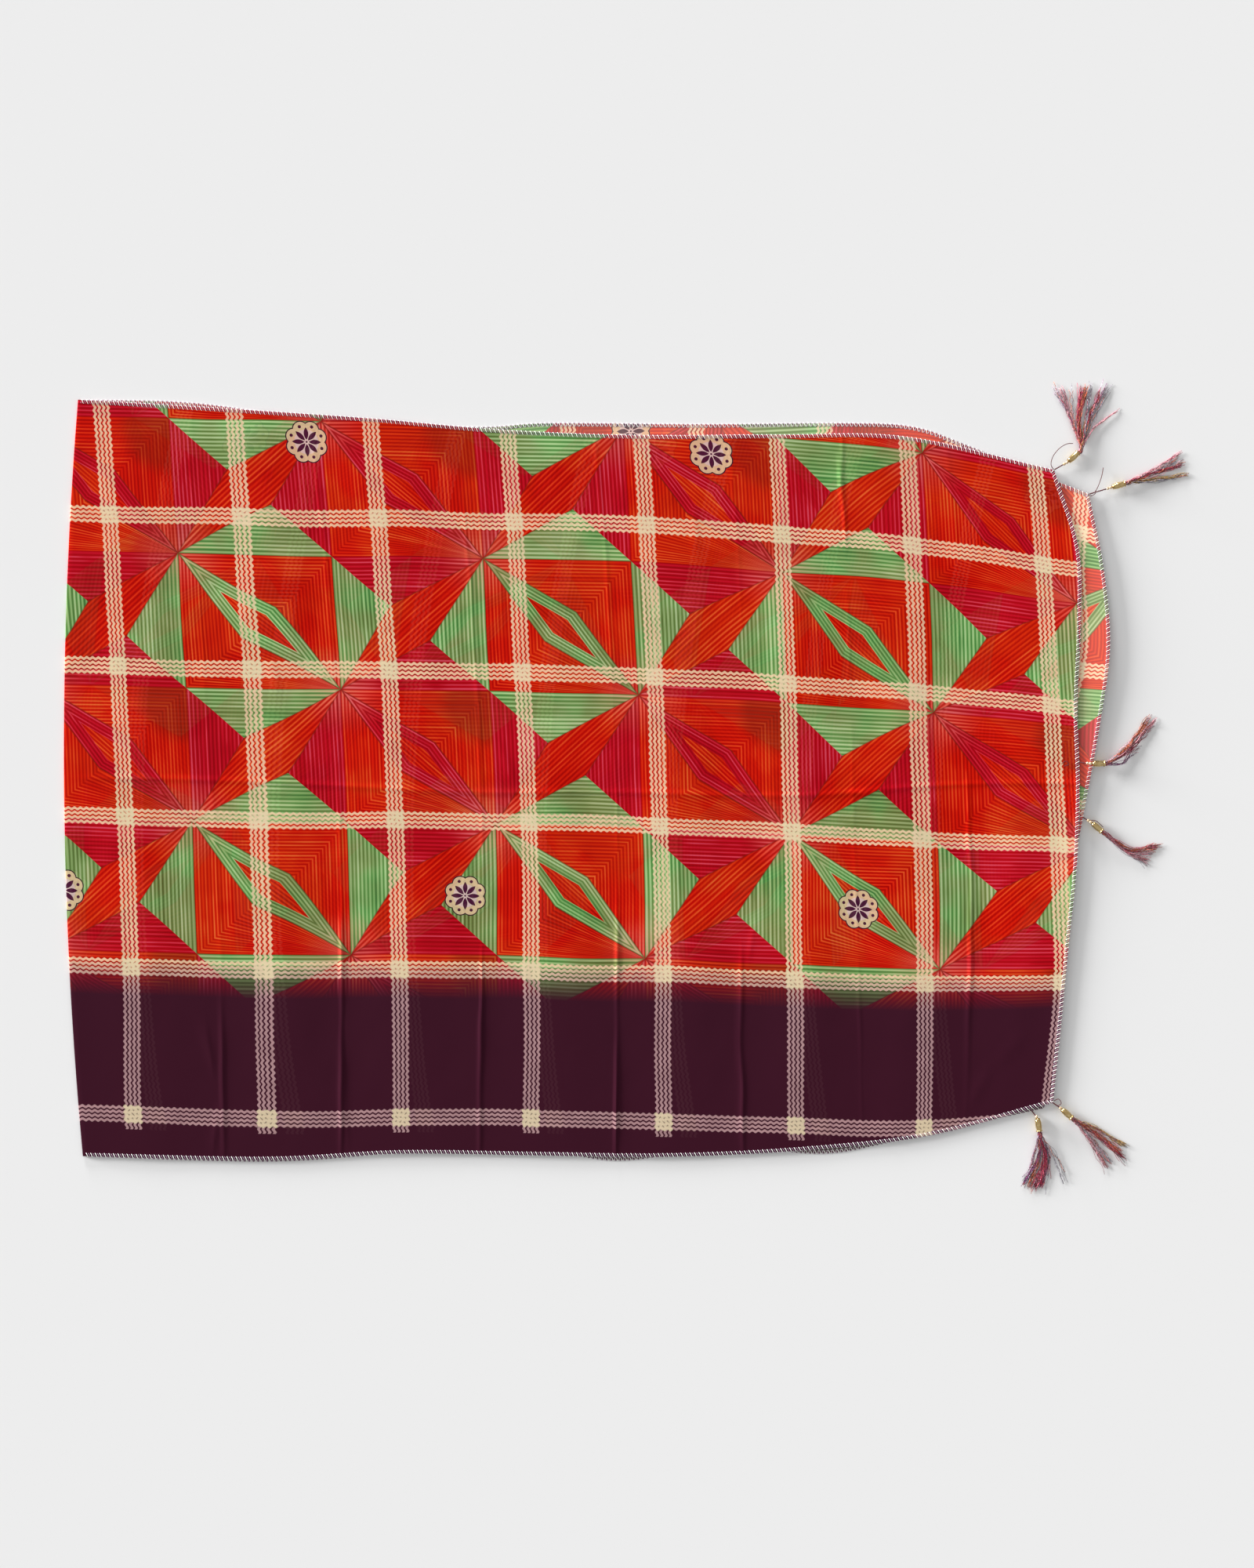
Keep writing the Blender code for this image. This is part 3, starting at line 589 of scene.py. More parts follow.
# packing creases: place in sections, height, width, the shares of the scarf's width between which
# each is sharp, and how far it leans over its length
creases = (
    (0.74, 1.1, 2.3, 0.0, 0.2, 4.0),
    (1.56, 1.5, 2.0, 0.0, 0.3, -3.0),
    (2.63, 1.6, 2.1, 0.0, 0.27, 3.0),
    (3.66, 1.6, 1.9, 0.0, 0.3, -2.0),
    (4.63, 1.2, 2.2, 0.0, 0.24, 5.0),
    (5.50, 1.1, 1.9, 0.86, 1.0, -1.0),
    (6.30, 1.0, 2.6, 0.1, 0.5, 3.0),
)
# short wrinkles: both ends, height, width
wrinkles = (
    (-391, -222, -382, -262, 0.8, 2.6), (-377, -300, -384, -338, 1.0, 2.4),
    (-265, -250, -258, -330, 0.7, 2.8),
    (-118, 34, -104, 4, 1.0, 2.4), (-96, -172, -88, -204, 0.7, 2.6), (62, 262, 64, 214, 0.9, 2.6),
    (196, 303, 197, 268, 1.2, 2.0), (243, -312, 250, -334, 1.1, 2.4), (318, -292, 336, -262, 0.9, 2.6),
    (340, -258, 366, -232, 0.6, 3.0), (204, -6, 226, -9, 0.9, 2.6), (-330, 118, -322, 82, 0.7, 2.6),
    (-438, 206, -430, 178, 0.8, 2.6), (352, 96, 372, 70, 0.8, 2.8), (120, -120, 112, -158, 0.7, 2.8),
)


def leafPoint(leaf, along, across):
    sections, bulge = leaves[leaf]
    xs, ys = [], []
    for bottomX, bottomY, topX, topY, bow, _, _ in sections:
        xs.append(bottomX + (topX - bottomX) * across + bow * 4 * across * (1 - across))
        ys.append(bottomY + (topY - bottomY) * across)
    xs[-1] += throughPoints(bulge, across * (len(bulge) - 1))
    return throughPoints(xs, along), throughPoints(ys, along)


def curl(x):
    share = max(0.0, (x - cloth["curlStart"]) / (cloth["curlEnd"] - cloth["curlStart"]))
    return cloth["curlLift"] * share * share


def printPlace(leaf, along, across, x, y):
    # s and t of the print at a point of a leaf; the cloth is nowhere quite straight
    sections = leaves[leaf][0]
    bottomT = throughPoints([row[5] for row in sections], along)
    topT = throughPoints([row[6] for row in sections], along)
    sag = cloth["printSag"] * 4 * across * (1 - across)
    t = bottomT + (topT - bottomT) * across + sag
    side = 0.0 if leaf == "upper" else 50.0
    t += cloth["printWobble"] * noise.noise(Vector((x, y, side)) / cloth["wobblePitch"])
    wobble = cloth["printWobble"] * noise.noise(Vector((x, y, side + 400.0)) / cloth["wobblePitch"])
    foldX = leafPoint("upper", 0.0, across)[0]
    foldS = cloth["firstCheckS"] - (leafPoint("upper", 1.0, across)[0] - foldX)
    if leaf == "lower":
        endX = leafPoint("lower", len(sections) - 1.0, across)[0]
        endS = throughPoints(lowerEndS, across * (len(lowerEndS) - 1))
        return foldS + (endS - foldS) * (x - foldX) / (endX - foldX), t
    if along < 1.0:
        return foldS + (x - foldX) + wobble, t
    if along > 6.0:
        beyond = x - leafPoint("upper", 6.0, across)[0]
        pull = throughPoints(lastCheckPull, across * (len(lastCheckPull) - 1))
        return cloth["lastCheckS"] + beyond * (1 + pull / cloth["firstCheckS"]) + wobble, t
    return cloth["firstCheckS"] * along + wobble, t


def relief(along, across, x, y):
    # height of the upper leaf's creases, wrinkles, billows and small ripples
    places = [0.0] + [crease[0] for crease in creases] + [float(len(upperSections) - 1)]
    height = 0.0
    for place, rise, width, start, end, lean in creases:
        waver = 1.6 * noise.noise(Vector((place * 5.0, across * 16.0, 7.0)))
        middleX = leafPoint("upper", place, across)[0] + lean * math.sin(5.0 * across + 9.0 * place) + waver
        sharp = smoothstep((across - start) / 0.1 + 0.5) * smoothstep((end - across) / 0.1 + 0.5)
        uneven = 1.0 + 1.1 * noise.noise(Vector((place * 3.1, across * 8.0, 0.0)))
        height += rise * (0.2 + 0.8 * sharp) * uneven * math.exp(-((x - middleX) / width) ** 2)
    for startX, startY, endX, endY, rise, width in wrinkles:
        first, second = Vector((startX, startY)), Vector((endX, endY))
        run = second - first
        share = (Vector((x, y)) - first).dot(run) / run.length_squared
        if -0.2 < share < 1.2:
            gap = (Vector((x, y)) - first - run * share).length
            taper = smoothstep((share + 0.2) / 0.5) * smoothstep((1.2 - share) / 0.5)
            height += rise * taper * math.exp(-(gap / width) ** 2)
    for start, end in zip(places, places[1:]):
        if start < along < end:
            height += cloth["billow"] * math.sin(math.pi * (along - start) / (end - start)) ** 2
    middleY = leafPoint("upper", along, 0.5)[1] + 3.0 * math.sin(along * 2.1)
    height += cloth["midCrease"] * math.exp(-((y - middleY) / cloth["midCreaseWidth"]) ** 2)
    height += cloth["ripple"] * noise.noise(Vector((x, y * 0.6, 3.0)) / cloth["ripplePitch"])
    height += cloth["fineRipple"] * noise.noise(Vector((x, y, 9.0)) / cloth["fineRipplePitch"])
    towardsHem = 1 - (2 * across - 1) ** 4
    calm = smoothstep(along / cloth["foldCalm"])
    return height * (cloth["hemRelief"] + (1 - cloth["hemRelief"]) * towardsHem) * calm


def upperHeight(along, across, x, y):
    return cloth["upperHeight"] + max(0.0, relief(along, across, x, y)) + curl(x)


def lowerHeight(x, y):
    wobble = 0.12 * (1 + noise.noise(Vector((x, y, 21.0)) / 40.0))
    return cloth["lowerHeight"] + wobble + curl(x)


def sheetColumns():
    # leaf and along for each column of the sheet, from the upper short end round the fold
    upperLast, lowerLast = len(upperSections) - 1, len(lowerSections) - 1
    places = {upperLast * step / cloth["upperStations"] for step in range(1, cloth["upperStations"] + 1)}
    steps = int(cloth["fineReach"] / cloth["fineStep"])
    for crease in creases:
        for step in range(-steps, steps + 1):
            places.add(crease[0] + (step + 0.37) * cloth["fineStep"] / cloth["firstCheckS"])
    columns = [("upper", place) for place in sorted(places, reverse=True)]
    columns += [("fold", step / cloth["foldSteps"]) for step in range(cloth["foldSteps"] + 1)]
    columns += [("lower", lowerLast * step / cloth["lowerStations"])
                for step in range(1, cloth["lowerStations"] + 1)]
    return columns


def sheetRows():
    # across for each row, closer beside the long crease in the middle
    places = {row / cloth["rows"] for row in range(cloth["rows"] + 1)}
    for step in range(-5, 6):
        places.add(0.5 + (step + 0.3) * 0.0024)
    return sorted(places)


def sheetPoint(leaf, along, across):
    # place in mm and print place of the sheet's middle surface
    foldX, foldY = leafPoint("upper", 0.0, across)
    low, high = lowerHeight(foldX, foldY), cloth["upperHeight"]
    radius = (high - low) / 2
    if leaf == "fold":
        angle = math.pi * along
        x = foldX + radius - radius * math.sin(angle)
        s, t = printPlace("upper", 0.0, across, foldX, foldY)
        arc = radius * (angle - math.pi / 2)
        return (x, foldY, low + radius + radius * math.cos(angle)), (s - arc, t)
    x, y = leafPoint(leaf, along, across)
    x = max(x, foldX + radius)
    z = upperHeight(along, across, x, y) if leaf == "upper" else lowerHeight(x, y)
    return (x, y, z), printPlace(leaf, along, across, x, y)


def bakeCorners(columns, rows, middle):
    # one place on the bake map for each corner: the shown face gets most of it, then the strip of
    # the lower leaf that shows at the right
    steps = np.linalg.norm(np.diff(middle[:, len(rows) // 2], axis=0), axis=1)
    lengths = np.concatenate([[0.0], np.cumsum(steps)])
    foldColumn = next(i for i, (leaf, along) in enumerate(columns) if leaf == "fold" and along >= 0.5)
    upperShare = lengths / lengths[foldColumn]
    lowerShare = (lengths - lengths[foldColumn]) / (lengths[-1] - lengths[foldColumn])
    stretched = np.where(lowerShare < 0.93, lowerShare * 0.4 / 0.93, 0.4 + (lowerShare - 0.93) * 0.6 / 0.07)

    def place(layer, column, row, onLower):
        across = rows[row]
        if layer == 0 and not onLower:
            return 0.996 - 0.992 * upperShare[column], 0.314 + 0.682 * across
        if layer == 0:
            return 0.004 + 0.39 * lowerShare[column], 0.004 + 0.296 * across
        if onLower:
            return 0.41 + 0.51 * stretched[column], 0.004 + 0.296 * across
        return 0.93 + 0.066 * upperShare[column], 0.004 + 0.14 * across

    return foldColumn, place


def makeCloth():
    columns = sheetColumns()
    rows = sheetRows()
    middle = np.zeros((len(columns), len(rows), 3))
    printUv = np.zeros((len(columns), len(rows), 2))
    throughUv = np.zeros((len(columns), len(rows), 2))
    for i, (leaf, along) in enumerate(columns):
        for j, across in enumerate(rows):
            middle[i, j], printUv[i, j] = sheetPoint(leaf, along, across)
            foldX = leafPoint("upper", 0.0, across)[0]
            s, t = printUv[i, j]
            foldS = cloth["firstCheckS"] - (leafPoint("upper", 1.0, across)[0] - foldX)
            throughUv[i, j] = (2 * foldS - s, t)      # the other leaf lies mirrored in the fold
    alongStep = np.gradient(middle, axis=0)
    acrossStep = np.gradient(middle, axis=1)
    normal = np.cross(acrossStep, alongStep)
    normal /= np.linalg.norm(normal, axis=2)[:, :, None]
    half = cloth["thickness"] / 2
    rowCount = len(rows)
    count = len(columns) * rowCount
    verts = np.concatenate([(middle + normal * half).reshape(-1, 3),
                            (middle - normal * half).reshape(-1, 3)])
    foldColumn, bakePlace = bakeCorners(columns, rows, middle)
    faces, slots, bakeUv = [], [], []
    for i in range(len(columns) - 1):
        for j in range(rowCount - 1):
            here, right = i * rowCount + j, (i + 1) * rowCount + j
            faces.append((here, here + 1, right + 1, right))
            faces.append((count + here, count + right, count + right + 1, count + here + 1))
            slots += [0, 1]
            onLower = i >= foldColumn
            bakeUv += [bakePlace(0, i, j, onLower), bakePlace(0, i, j + 1, onLower),
                       bakePlace(0, i + 1, j + 1, onLower), bakePlace(0, i + 1, j, onLower)]
            bakeUv += [bakePlace(1, i, j, onLower), bakePlace(1, i + 1, j, onLower),
                       bakePlace(1, i + 1, j + 1, onLower), bakePlace(1, i, j + 1, onLower)]
    rims = []
    for j in range(rowCount - 1):
        last = (len(columns) - 1) * rowCount + j
        rims.append((j, count + j, count + j + 1, j + 1))
        rims.append((last, last + 1, count + last + 1, count + last))
    for i in range(len(columns) - 1):
        here, right = i * rowCount, (i + 1) * rowCount
        top, topRight = here + rowCount - 1, right + rowCount - 1
        rims.append((here, right, count + right, count + here))
        rims.append((top, count + top, count + topRight, topRight))
    for number in range(len(rims)):
        # the thin rims lie as short bars beside each other
        left, low = 0.932 + 0.016 * (number % 4), 0.16 + 0.138 * (number // 4) / (len(rims) // 4 + 1)
        high = low + 0.11 / (len(rims) // 4 + 1)
        bakeUv += [(left, low), (left + 0.012, low), (left + 0.012, high), (left, high)]
    slots += [0] * len(rims)
    mesh = bpy.data.meshes.new("folded_cloth")
    mesh.from_pydata((verts * mm).tolist(), [], faces + rims)
    mesh.shade_smooth()
    mesh.set_sharp_from_angle(angle=math.radians(50))
    mesh.polygons.foreach_set("material_index", slots)
    corner = np.zeros(len(mesh.loops), dtype=np.int32)
    mesh.loops.foreach_get("vertex_index", corner)
    for name, values in (("print", printUv), ("through", throughUv)):
        layer = mesh.uv_layers.new(name=name)
        flatValues = values.reshape(-1, 2) * mm
        layer.data.foreach_set("uv", flatValues[corner % count].astype(np.float32).ravel())
    bake = mesh.uv_layers.new(name="OFBake")
    bake.data.foreach_set("uv", np.array(bakeUv, dtype=np.float32).ravel())
    piece = addObject("folded_cloth", mesh, printedFace, printedReverse)
    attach(piece, "root")
    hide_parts("scarf_cloth")
    return piece


foldedCloth = makeCloth()

print("stage 5: overlocked hems")

overlock = {
    "pitch": 4.2,               # the photo gives 4.0 to 4.5
    "inset": 1.3,               # middle of the stitches, inside the cut edge
    "reach": 1.7,               # half the stitches' width
    "rise": 0.5,
    "whiteRadius": 0.44, "mauveRadius": 0.34,    # loosely spun, so thicker than its bare core
    "pointsPerTurn": 10, "sides": 4,
    "white": "#FFFDFB", "mauve": "#AE8CA6",
}


def makeSewingThread(name, hexCode):
    # spun polyester sewing thread: matt with a faint sheen, slightly uneven in tone
    material, t = newMaterial(name)
    texture = addNode(t, "TexNoise", named={"Scale": 900.0, "Detail": 2.0})
    fluff = addNode(t, "MapRange", texture, 0.3, 0.6, 0.0, 1.0)
    colour = addNode(t, "Mix.RGBA", fluff, [c * 0.75 for c in linear(hexCode)[:3]] + [1.0], linear(hexCode))
    shader = addNode(t, "BsdfPrincipled", colour, named={
        "Roughness": 0.6, "Sheen Weight": 0.2, "Sheen Roughness": 0.4})
    finishMaterial(t, shader)
    return material


def hemLine(leaf, step):
    # points along the three hems of a leaf, evenly spaced, with the direction into the cloth
    last = len(leaves[leaf][0]) - 1.0
    route = [(last * k / 400, 0.0) for k in range(1, 400)]
    route += [(last, k / 280) for k in range(281)]
    route += [(last * (1 - k / 400), 1.0) for k in range(1, 400)]
    points = np.array([sheetPoint(leaf, along, across)[0] for along, across in route])
    lengths = np.concatenate([[0.0], np.cumsum(np.linalg.norm(np.diff(points, axis=0), axis=1))])
    places = np.arange(0.0, lengths[-1], step)
    even = np.stack([np.interp(places, lengths, points[:, axis]) for axis in range(3)], axis=1)
    tangent = np.gradient(even, axis=0)
    tangent /= np.linalg.norm(tangent, axis=1)[:, None]
    inward = np.cross((0.0, 0.0, 1.0), tangent)
    return places, even, inward


def makeHems(whiteThread, mauveThread):
    pieces = []
    step = overlock["pitch"] / overlock["pointsPerTurn"]
    for leaf in ("upper", "lower"):
        places, line, inward = hemLine(leaf, step)
        for colour, material, turn, reach in (("white", whiteThread, 0.0, 1.0),
                                              ("mauve", mauveThread, 0.5, 0.92)):
            radius = overlock[f"{colour}Radius"]
            angle = 2 * math.pi * (places / overlock["pitch"] + turn)
            across = overlock["inset"] + overlock["reach"] * reach * np.cos(angle)
            rise = overlock["rise"] * np.sin(angle)
            points = line + inward * across[:, None]
            points[:, 2] += rise
            points[:, 2] = np.maximum(points[:, 2], radius + 0.03)
            piece = addTubes(f"overlock_{leaf}_{colour}", [points], radius, overlock["sides"], material)
            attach(piece, "root")
            pieces.append(piece)
    return pieces


whiteThread = makeSewingThread("spunPolyesterWhite", overlock["white"])
mauveThread = makeSewingThread("spunPolyesterMauve", overlock["mauve"])
hems = makeHems(whiteThread, mauveThread)

print("stage 6: tassels")

tassel = {
    "capSides": 32, "beadSides": 20,
    "threadRadius": 0.23, "threadSides": 3, "threadSteps": 30,
    "kink": 0.55, "kinkLength": 10.0,       # the threads keep the waves of their winding
    "fullness": 2.1,            # threads for each one counted in the table below
    "tipHeight": 0.5,
    "spread": 1.4,              # how far the threads of one lock part from each other
    "knotRed": "#5C0A18", "stemRadius": 0.36, "stemTwist": 3.2, "stemSides": 6,
    "bindingRing": 1.45, "bindingRadius": 0.45, "ringSteps": 24,
    # distance along the axis and radius, at the cap's back end and, from the mouth back, at its rim
    "capBack": ((0.0, 1.15), (0.12, 1.55), (0.5, 2.2), (0.9, 2.5), (1.25, 2.4), (1.5, 2.25)),
    "capRim": ((-1.3, 2.42), (-1.05, 2.85), (-0.7, 3.06), (-0.3, 3.1), (-0.05, 2.95), (0.0, 2.7),
               (-0.1, 2.3), (-4.5, 2.3)),
    "barrelRadius": 2.45, "barrelSwell": 0.45, "barrelSteps": 8,
    "beadRadius": 1.42, "beadHalf": 1.4, "beadPitch": 2.75, "firstBead": 1.45,
    "looseSteps": 5,
}

# each lock of threads: the middle of its way, its end, its count of threads and its dye
locks = {
    "upper_top": ((410, 339, 395, 368, 5, "lilac"), (411, 337, 401, 369, 6, "rose"),
                  (413, 339, 410, 370, 2, "silver"), (417, 339, 420, 369, 12, "crimson"),
                  (418, 339, 424, 368, 12, "orange"), (424, 337, 428, 369, 5, "silver"),
                  (425, 339, 430, 375, 2, "silver"), (426, 337, 438, 365, 10, "crimson"),
                  (426, 335, 444, 371, 6, "lilac"), (431, 339, 449, 368, 3, "silver"),
                  (432, 331, 456, 348, 3, "rose"), (423, 329, 430, 349, 8, "gold")),
    "lower_top": ((487, 292, 513, 308, 7, "rose"), (489, 290, 510, 302, 5, "silver"),
                  (489, 289, 515, 297, 11, "crimson"), (489, 283, 518, 288, 7, "gold"),
                  (492, 282, 508, 286, 5, "silver")),
    "upper_middle": ((463, 36, 483, 62, 16, "orange"), (464, 35, 488, 60, 12, "rose"),
                     (464, 33, 479, 47, 6, "crimson"), (458, 28, 472, 36, 5, "rose"),
                     (457, 20, 469, 32, 5, "violet")),
    "lower_middle": ((465, -59, 491, -55, 12, "crimson"), (466, -59, 493, -57, 10, "orange"),
                     (465, -62, 489, -62, 5, "rose"), (463, -62, 483, -70, 7, "rose"),
                     (461, -62, 481, -74, 3, "silver")),
    "upper_bottom": ((435, -318, 462, -334, 12, "gold"), (434, -322, 457, -340, 16, "orange"),
                     (434, -323, 460, -345, 10, "crimson"), (426, -325, 444, -354, 8, "rose"),
                     (429, -326, 447, -350, 6, "silver")),
    "lower_bottom": ((380, -345, 366, -369, 12, "violet"), (381, -345, 371, -371, 12, "orange"),
                     (386, -344, 376, -371, 16, "crimson"), (387, -345, 381, -372, 16, "crimson"),
                     (389, -343, 384, -371, 9, "violet"), (390, -339, 388, -363, 6, "rose"),
                     (376, -343, 371, -363, 6, "lilac"), (394, -343, 403, -366, 2, "silver"),
                     (395, -341, 407, -362, 2, "silver")),
}
# cap's back end and mouth, the hem place of the knot (leaf, along, across), and count of beads
fittings = {
    "upper_top": ((407.5, 299.0, 5.1), (416.8, 307.4, 4.1), ("upper", 7.0, 1.0), 2),
    "lower_top": ((448.0, 275.5, 4.5), (460.2, 279.0, 3.8), ("lower", 9.0, 1.0), 2),
    "upper_middle": ((428.8, 20.2, 9.2), (440.8, 20.4, 6.3), ("upper", 7.0, 0.538), 2),
    "lower_middle": ((429.5, -34.5, 5.1), (438.6, -42.2, 4.1), ("lower", 9.0, 0.474), 2),
    "upper_bottom": ((401.6, -298.6, 4.7), (410.8, -307.0, 3.9), ("upper", 7.0, 0.0), 1),
    "lower_bottom": ((379.2, -307.0, 3.9), (381.0, -319.4, 3.7), ("lower", 8.92, 0.0), 1),
}
# loose ends and loops of the knots, as points in x, y, z
strays = {
    "upper_top": (((394.4, 291.4, 4.2), (391.6, 296.5, 4.6), (393.5, 304, 5), (399, 311, 6),
                   (406, 315.3, 5.4), (412, 316.0, 3.6)),),
    "lower_top": (((416.5, 267.3, 3.4), (422, 267.9, 4.0), (429, 267.5, 4.6), (433, 270, 4.6)),
                  ((432.5, 271.4, 3.4), (435.0, 276, 4.6), (438.2, 285, 5.0), (440, 293.6, 3.6))),
    "upper_middle": (((401, 20, 6.4), (405, 22.6, 7.2), (407.5, 19.6, 7.4), (403.6, 17.8, 6.6)),),
    "lower_middle": (((427.5, -32, 4.0), (433.4, -32.8, 4.6), (440, -38.4, 3.6)),),
    "upper_bottom": (((394, -291.5, 3.6), (398.6, -289.4, 4.6), (401, -293.6, 4.6), (397, -296.2, 3.8)),),
}
threadDyes = {
    "rose": "#CC8E98", "crimson": "#A82E4C", "orange": "#CC6C48", "gold": "#B08A40",
    "violet": "#7C4070", "silver": "#A8A2AC", "lilac": "#B092A8",
}


def makeMetallicThread():
    # polyester thread wound with a metallic strip: saturated; short flecks of its colour are painted
    # brighter, as painted glints, and others darker, as uneven tone
    material, t = newMaterial("metallicThread")
    dye = addNode(t, "Attribute", attribute_name="dye")
    place = addNode(t, "TexCoord").node.outputs["Object"]
    # painted glints: the colour is raised up to 1.6 times in short flecks and lowered elsewhere for uneven
    # tone
    paintedGlintFlecks = addNode(t, "TexNoise", place, named={"Scale": 700.0, "Detail": 2.0})
    light = addNode(t, "MapRange", paintedGlintFlecks, 0.35, 0.7, 0.45, 1.6)
    colour = addNode(t, "VectorMath.SCALE", dye, light)
    shader = addNode(t, "BsdfPrincipled", colour, named={
        "Roughness": 0.35, "Metallic": 0.25, "Sheen Weight": 0.1})
    finishMaterial(t, shader)
    return material


def makePolishedBrass():
    # thin turned brass with a pale gold lacquer: bright highlights beside dark reflections
    material, t = newMaterial("lacqueredBrass")
    place = addNode(t, "TexCoord").node.outputs["Object"]
    patches = addNode(t, "TexNoise", place, named={"Scale": 350.0, "Detail": 3.0})
    colour = addNode(t, "Mix.RGBA", patches, linear("#A87A34"), linear("#F0DDA4"))
    roughness = addNode(t, "MapRange", patches, 0.3, 0.7, 0.16, 0.32)
    shader = addNode(t, "BsdfPrincipled", colour, named={
        "Metallic": 1.0, "Roughness": roughness, "Coat Weight": 0.3, "Coat Roughness": 0.08})
    finishMaterial(t, shader)
    return material


def makeSeedGlass():
    # gold-lined seed beads: glass over a bright lining, with a hard small highlight
    material, t = newMaterial("goldLinedGlass")
    place = addNode(t, "TexCoord").node.outputs["Object"]
    lining = addNode(t, "TexNoise", place, named={"Scale": 500.0})
    colour = addNode(t, "Mix.RGBA", lining, linear("#C79A5A"), linear("#F6E6C8"))
    shader = addNode(t, "BsdfPrincipled", colour, named={
        "Metallic": 0.35, "Roughness": 0.12, "IOR": 1.52, "Coat Weight": 1.0, "Coat Roughness": 0.03})
    finishMaterial(t, shader)
    return material


def sideFrame(direction):
    sideways = Vector((0, 0, 1)).cross(direction).normalized()
    return sideways, direction.cross(sideways).normalized()


def addTurned(bm, start, direction, profile, sides):
    # a body of revolution; profile rows are distance along the axis and radius
    sideways, upward = sideFrame(direction)
    rings = []
    for distance, radius in profile:
        ring = []
        for side in range(sides):
            angle = 2 * math.pi * side / sides
            offset = sideways * math.cos(angle) + upward * math.sin(angle)
            ring.append(bm.verts.new((start + direction * distance + offset * radius) * mm))
        rings.append(ring)
    for here, following in zip(rings, rings[1:]):
        for side in range(sides):
            after = (side + 1) % sides
            bm.faces.new((here[side], here[after], following[after], following[side]))
    bm.faces.new(rings[0])
    bm.faces.new(rings[-1])


def finishTurned(name, bm, material):
    bmesh.ops.recalc_face_normals(bm, faces=bm.faces)
    mesh = bpy.data.meshes.new(name)
    bm.to_mesh(mesh)
    bm.free()
    mesh.shade_smooth()
    mesh.set_sharp_from_angle(angle=math.radians(42))
    return addObject(name, mesh, material)


def makeCap(name, back, mouth, material):
    axis = mouth - back
    length = axis.length
    profile = list(tassel["capBack"])
    for step in range(tassel["barrelSteps"] + 1):       # the barrel swells in its middle
        share = step / tassel["barrelSteps"]
        swell = tassel["barrelSwell"] * math.sin(math.pi * share) ** 0.8
        profile.append((1.7 + (length - 3.2) * share, tassel["barrelRadius"] + swell))
    profile += [(length + place, radius) for place, radius in tassel["capRim"]]
    bm = bmesh.new()
    addTurned(bm, back, axis.normalized(), profile, tassel["capSides"])
    return finishTurned(f"cap_{name}", bm, material)


def makeBeads(name, back, beads, knot, material):
    # seed beads in a row behind the cap, each closed flat at both ends
    direction = (back - knot).normalized()
    length = (back - knot).length
    bm = bmesh.new()
    for bead in range(beads):
        centre = length - tassel["firstBead"] - tassel["beadPitch"] * bead
        profile = []
        for step in range(11):
            angle = math.pi * (0.12 + 0.76 * step / 10)
            profile.append((centre - tassel["beadHalf"] * math.cos(angle),
                            tassel["beadRadius"] * math.sin(angle) ** 0.7))
        addTurned(bm, knot, direction, profile, tassel["beadSides"])
    return finishTurned(f"beads_{name}", bm, material)


def lockLine(mouth, direction, middleX, middleY, tipX, tipY, shift, chance, reach):
    # one thread: out of the cap, through the lock's middle and to its end, with its own waver
    start = mouth + Vector(shift)
    lead = mouth + direction * 5.0 + Vector(shift) * 1.5
    spread = tassel["spread"] * (1.0 if chance.random() < 0.85 else 2.4)
    middleStray = Vector((chance.gauss(0, 0.5), chance.gauss(0, 0.5), 0))
    middle = Vector((middleX, middleY, 0)) + middleStray * spread
    tipStray = Vector((chance.gauss(0, 1.0), chance.gauss(0, 1.0), 0))
    tip = Vector((tipX, tipY, 0)) + tipStray * spread
    middle.z = max(tassel["tipHeight"], mouth.z * 0.35 + shift[2] * 0.8 + 0.6)
    tip.z = tassel["tipHeight"] + chance.random() * 0.7
    tip = middle + (tip - middle) * reach
    wave = chance.random() * 2 * math.pi
    turns = (tip - mouth).length / tassel["kinkLength"] * (0.8 + 0.5 * chance.random())
    kink = tassel["kink"] * (0.5 + chance.random())
    curve = [start, lead, middle, tip]
    line = []
    for step in range(tassel["threadSteps"] + 1):
        share = step / tassel["threadSteps"]
        point = [throughPoints([p[axis] for p in curve], 3.0 * share) for axis in range(3)]
        free = kink * min(1.0, 3.0 * share)
        turn = wave + 2 * math.pi * turns * share
        point[0] += free * math.sin(turn)
        point[1] += free * math.cos(turn * 0.83 + wave)
        point[2] += 0.5 * free * (1.0 + math.sin(turn * 0.71 + 2.0 * wave))
        point[2] = max(point[2], tassel["threadRadius"] + 0.05)
        line.append(point)
    return line


def makeThreads(name, back, mouth, material):
    chance = random.Random(name)
    direction = (mouth - back).normalized()
    sideways, upward = sideFrame(direction)
    lines, colours = [], []
    for middleX, middleY, tipX, tipY, count, dye in locks[name]:
        towards = Vector((middleX, middleY, 0)) - mouth
        lean = max(-1.0, min(1.0, towards.dot(sideways) / 8.0))
        for thread in range(round(count * tassel["fullness"])):
            angle = chance.random() * 2 * math.pi
            radius = 1.3 * math.sqrt(chance.random())
            shift = (sideways * (0.85 * radius * math.cos(angle) + 0.5 * lean)
                     + upward * radius * math.sin(angle) * 0.85)
            reach = 0.8 + 0.25 * chance.random()
            lines.append(lockLine(mouth - direction * 0.8, direction, middleX, middleY, tipX, tipY,
                                  tuple(shift), chance, reach))
            tone = 0.7 + 0.7 * chance.random()
            # every third thread of a lock has strayed in from another one
            own = dye if chance.random() < 0.66 else chance.choice(("rose", "silver", "crimson", "orange"))
            colours.append([c * tone for c in linear(threadDyes[own])[:3]] + [1.0])
    return addTubes(f"threads_{name}", lines, tassel["threadRadius"], tassel["threadSides"], material,
                    colours)


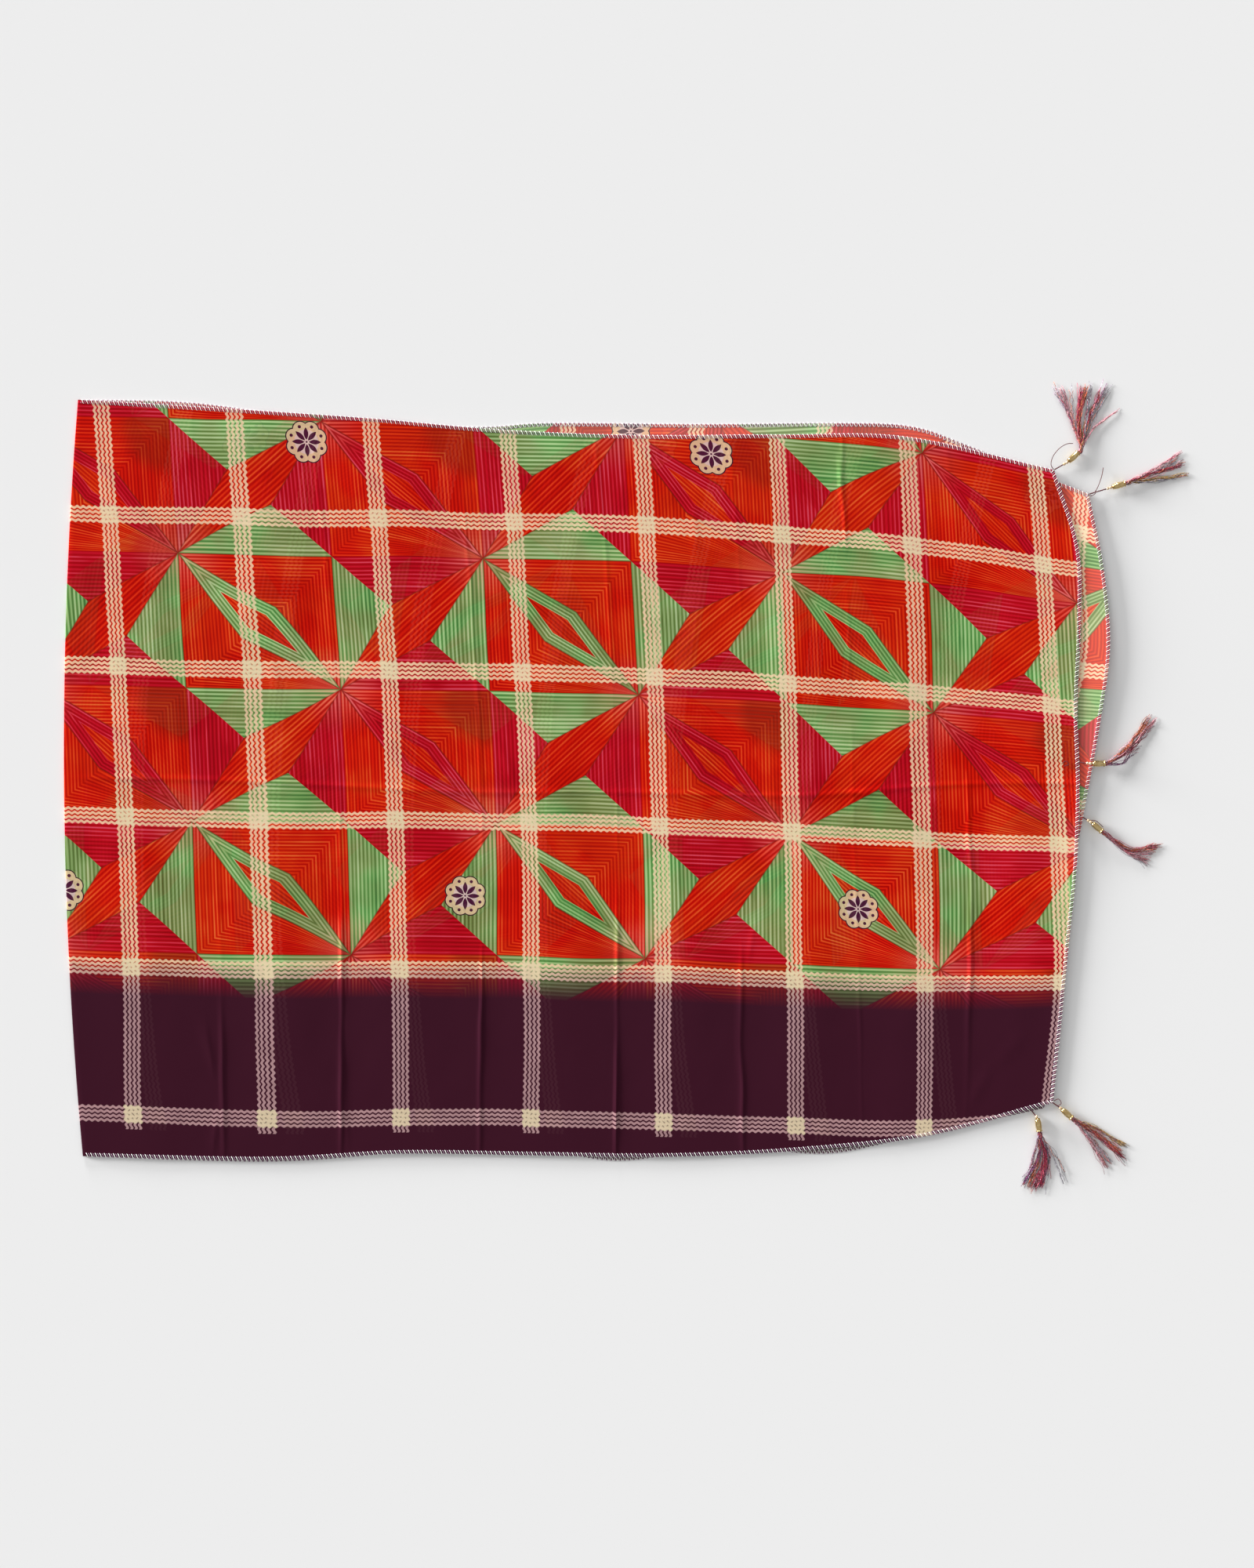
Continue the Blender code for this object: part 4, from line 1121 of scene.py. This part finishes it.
def throughEven(points, place):
    return tuple(throughPoints([point[axis] for point in points], place) for axis in range(3))


def stemLines(anchor, back):
    # two strands twisted together from the hem into the cap
    direction = (back - anchor).normalized()
    sideways, upward = sideFrame(direction)
    length = (back - anchor).length
    steps = max(6, int(length / 0.5))
    lines = []
    for turn in (0.0, math.pi):
        line = []
        for step in range(steps + 1):
            angle = turn + 2 * math.pi * length * step / steps / tassel["stemTwist"]
            offset = (sideways * math.cos(angle) + upward * math.sin(angle)) * tassel["stemRadius"] * 0.9
            line.append(tuple(anchor + (back - anchor) * (step / steps) + offset))
        lines.append(line)
    return lines


def mouthRing(back, mouth):
    # the binding that shows in the cap's mouth
    direction = (mouth - back).normalized()
    sideways, upward = sideFrame(direction)
    ring = []
    for step in range(tassel["ringSteps"] + 1):
        angle = 2 * math.pi * step / tassel["ringSteps"]
        around = (sideways * math.cos(angle) + upward * math.sin(angle)) * tassel["bindingRing"]
        ring.append(tuple(mouth + direction * 0.5 + around))
    return ring


def makeTassels():
    brass, glass = makePolishedBrass(), makeSeedGlass()
    metallic = makeMetallicThread()
    knotThread = makeSewingThread("spunPolyesterDarkRed", tassel["knotRed"])
    bindingThread = makeSewingThread("spunPolyesterRose", threadDyes["crimson"])
    for name, (back, mouth, (leaf, along, across), beads) in fittings.items():
        back, mouth = Vector(back), Vector(mouth)
        anchor = Vector(sheetPoint(leaf, along, across)[0])
        cap = makeCap(name, back, mouth, brass)
        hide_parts(f"tassel_{name}_cap")
        beadRow = makeBeads(name, back, beads, anchor, glass)
        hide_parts(f"tassel_{name}_beads")
        threads = makeThreads(name, back, mouth, metallic)
        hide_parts(f"tassel_{name}_threads")
        binding = addTubes(f"binding_{name}", [mouthRing(back, mouth)], tassel["bindingRadius"],
                           tassel["stemSides"], bindingThread)
        fine = tassel["looseSteps"]
        loose = [[throughEven(stray, step / fine) for step in range(fine * (len(stray) - 1) + 1)]
                 for stray in strays.get(name, ())]
        stem = addTubes(f"stem_{name}", stemLines(anchor, back) + loose, tassel["stemRadius"],
                        tassel["stemSides"], knotThread)
        for piece in (cap, beadRow, threads, binding, stem):
            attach(piece, "root")


makeTassels()
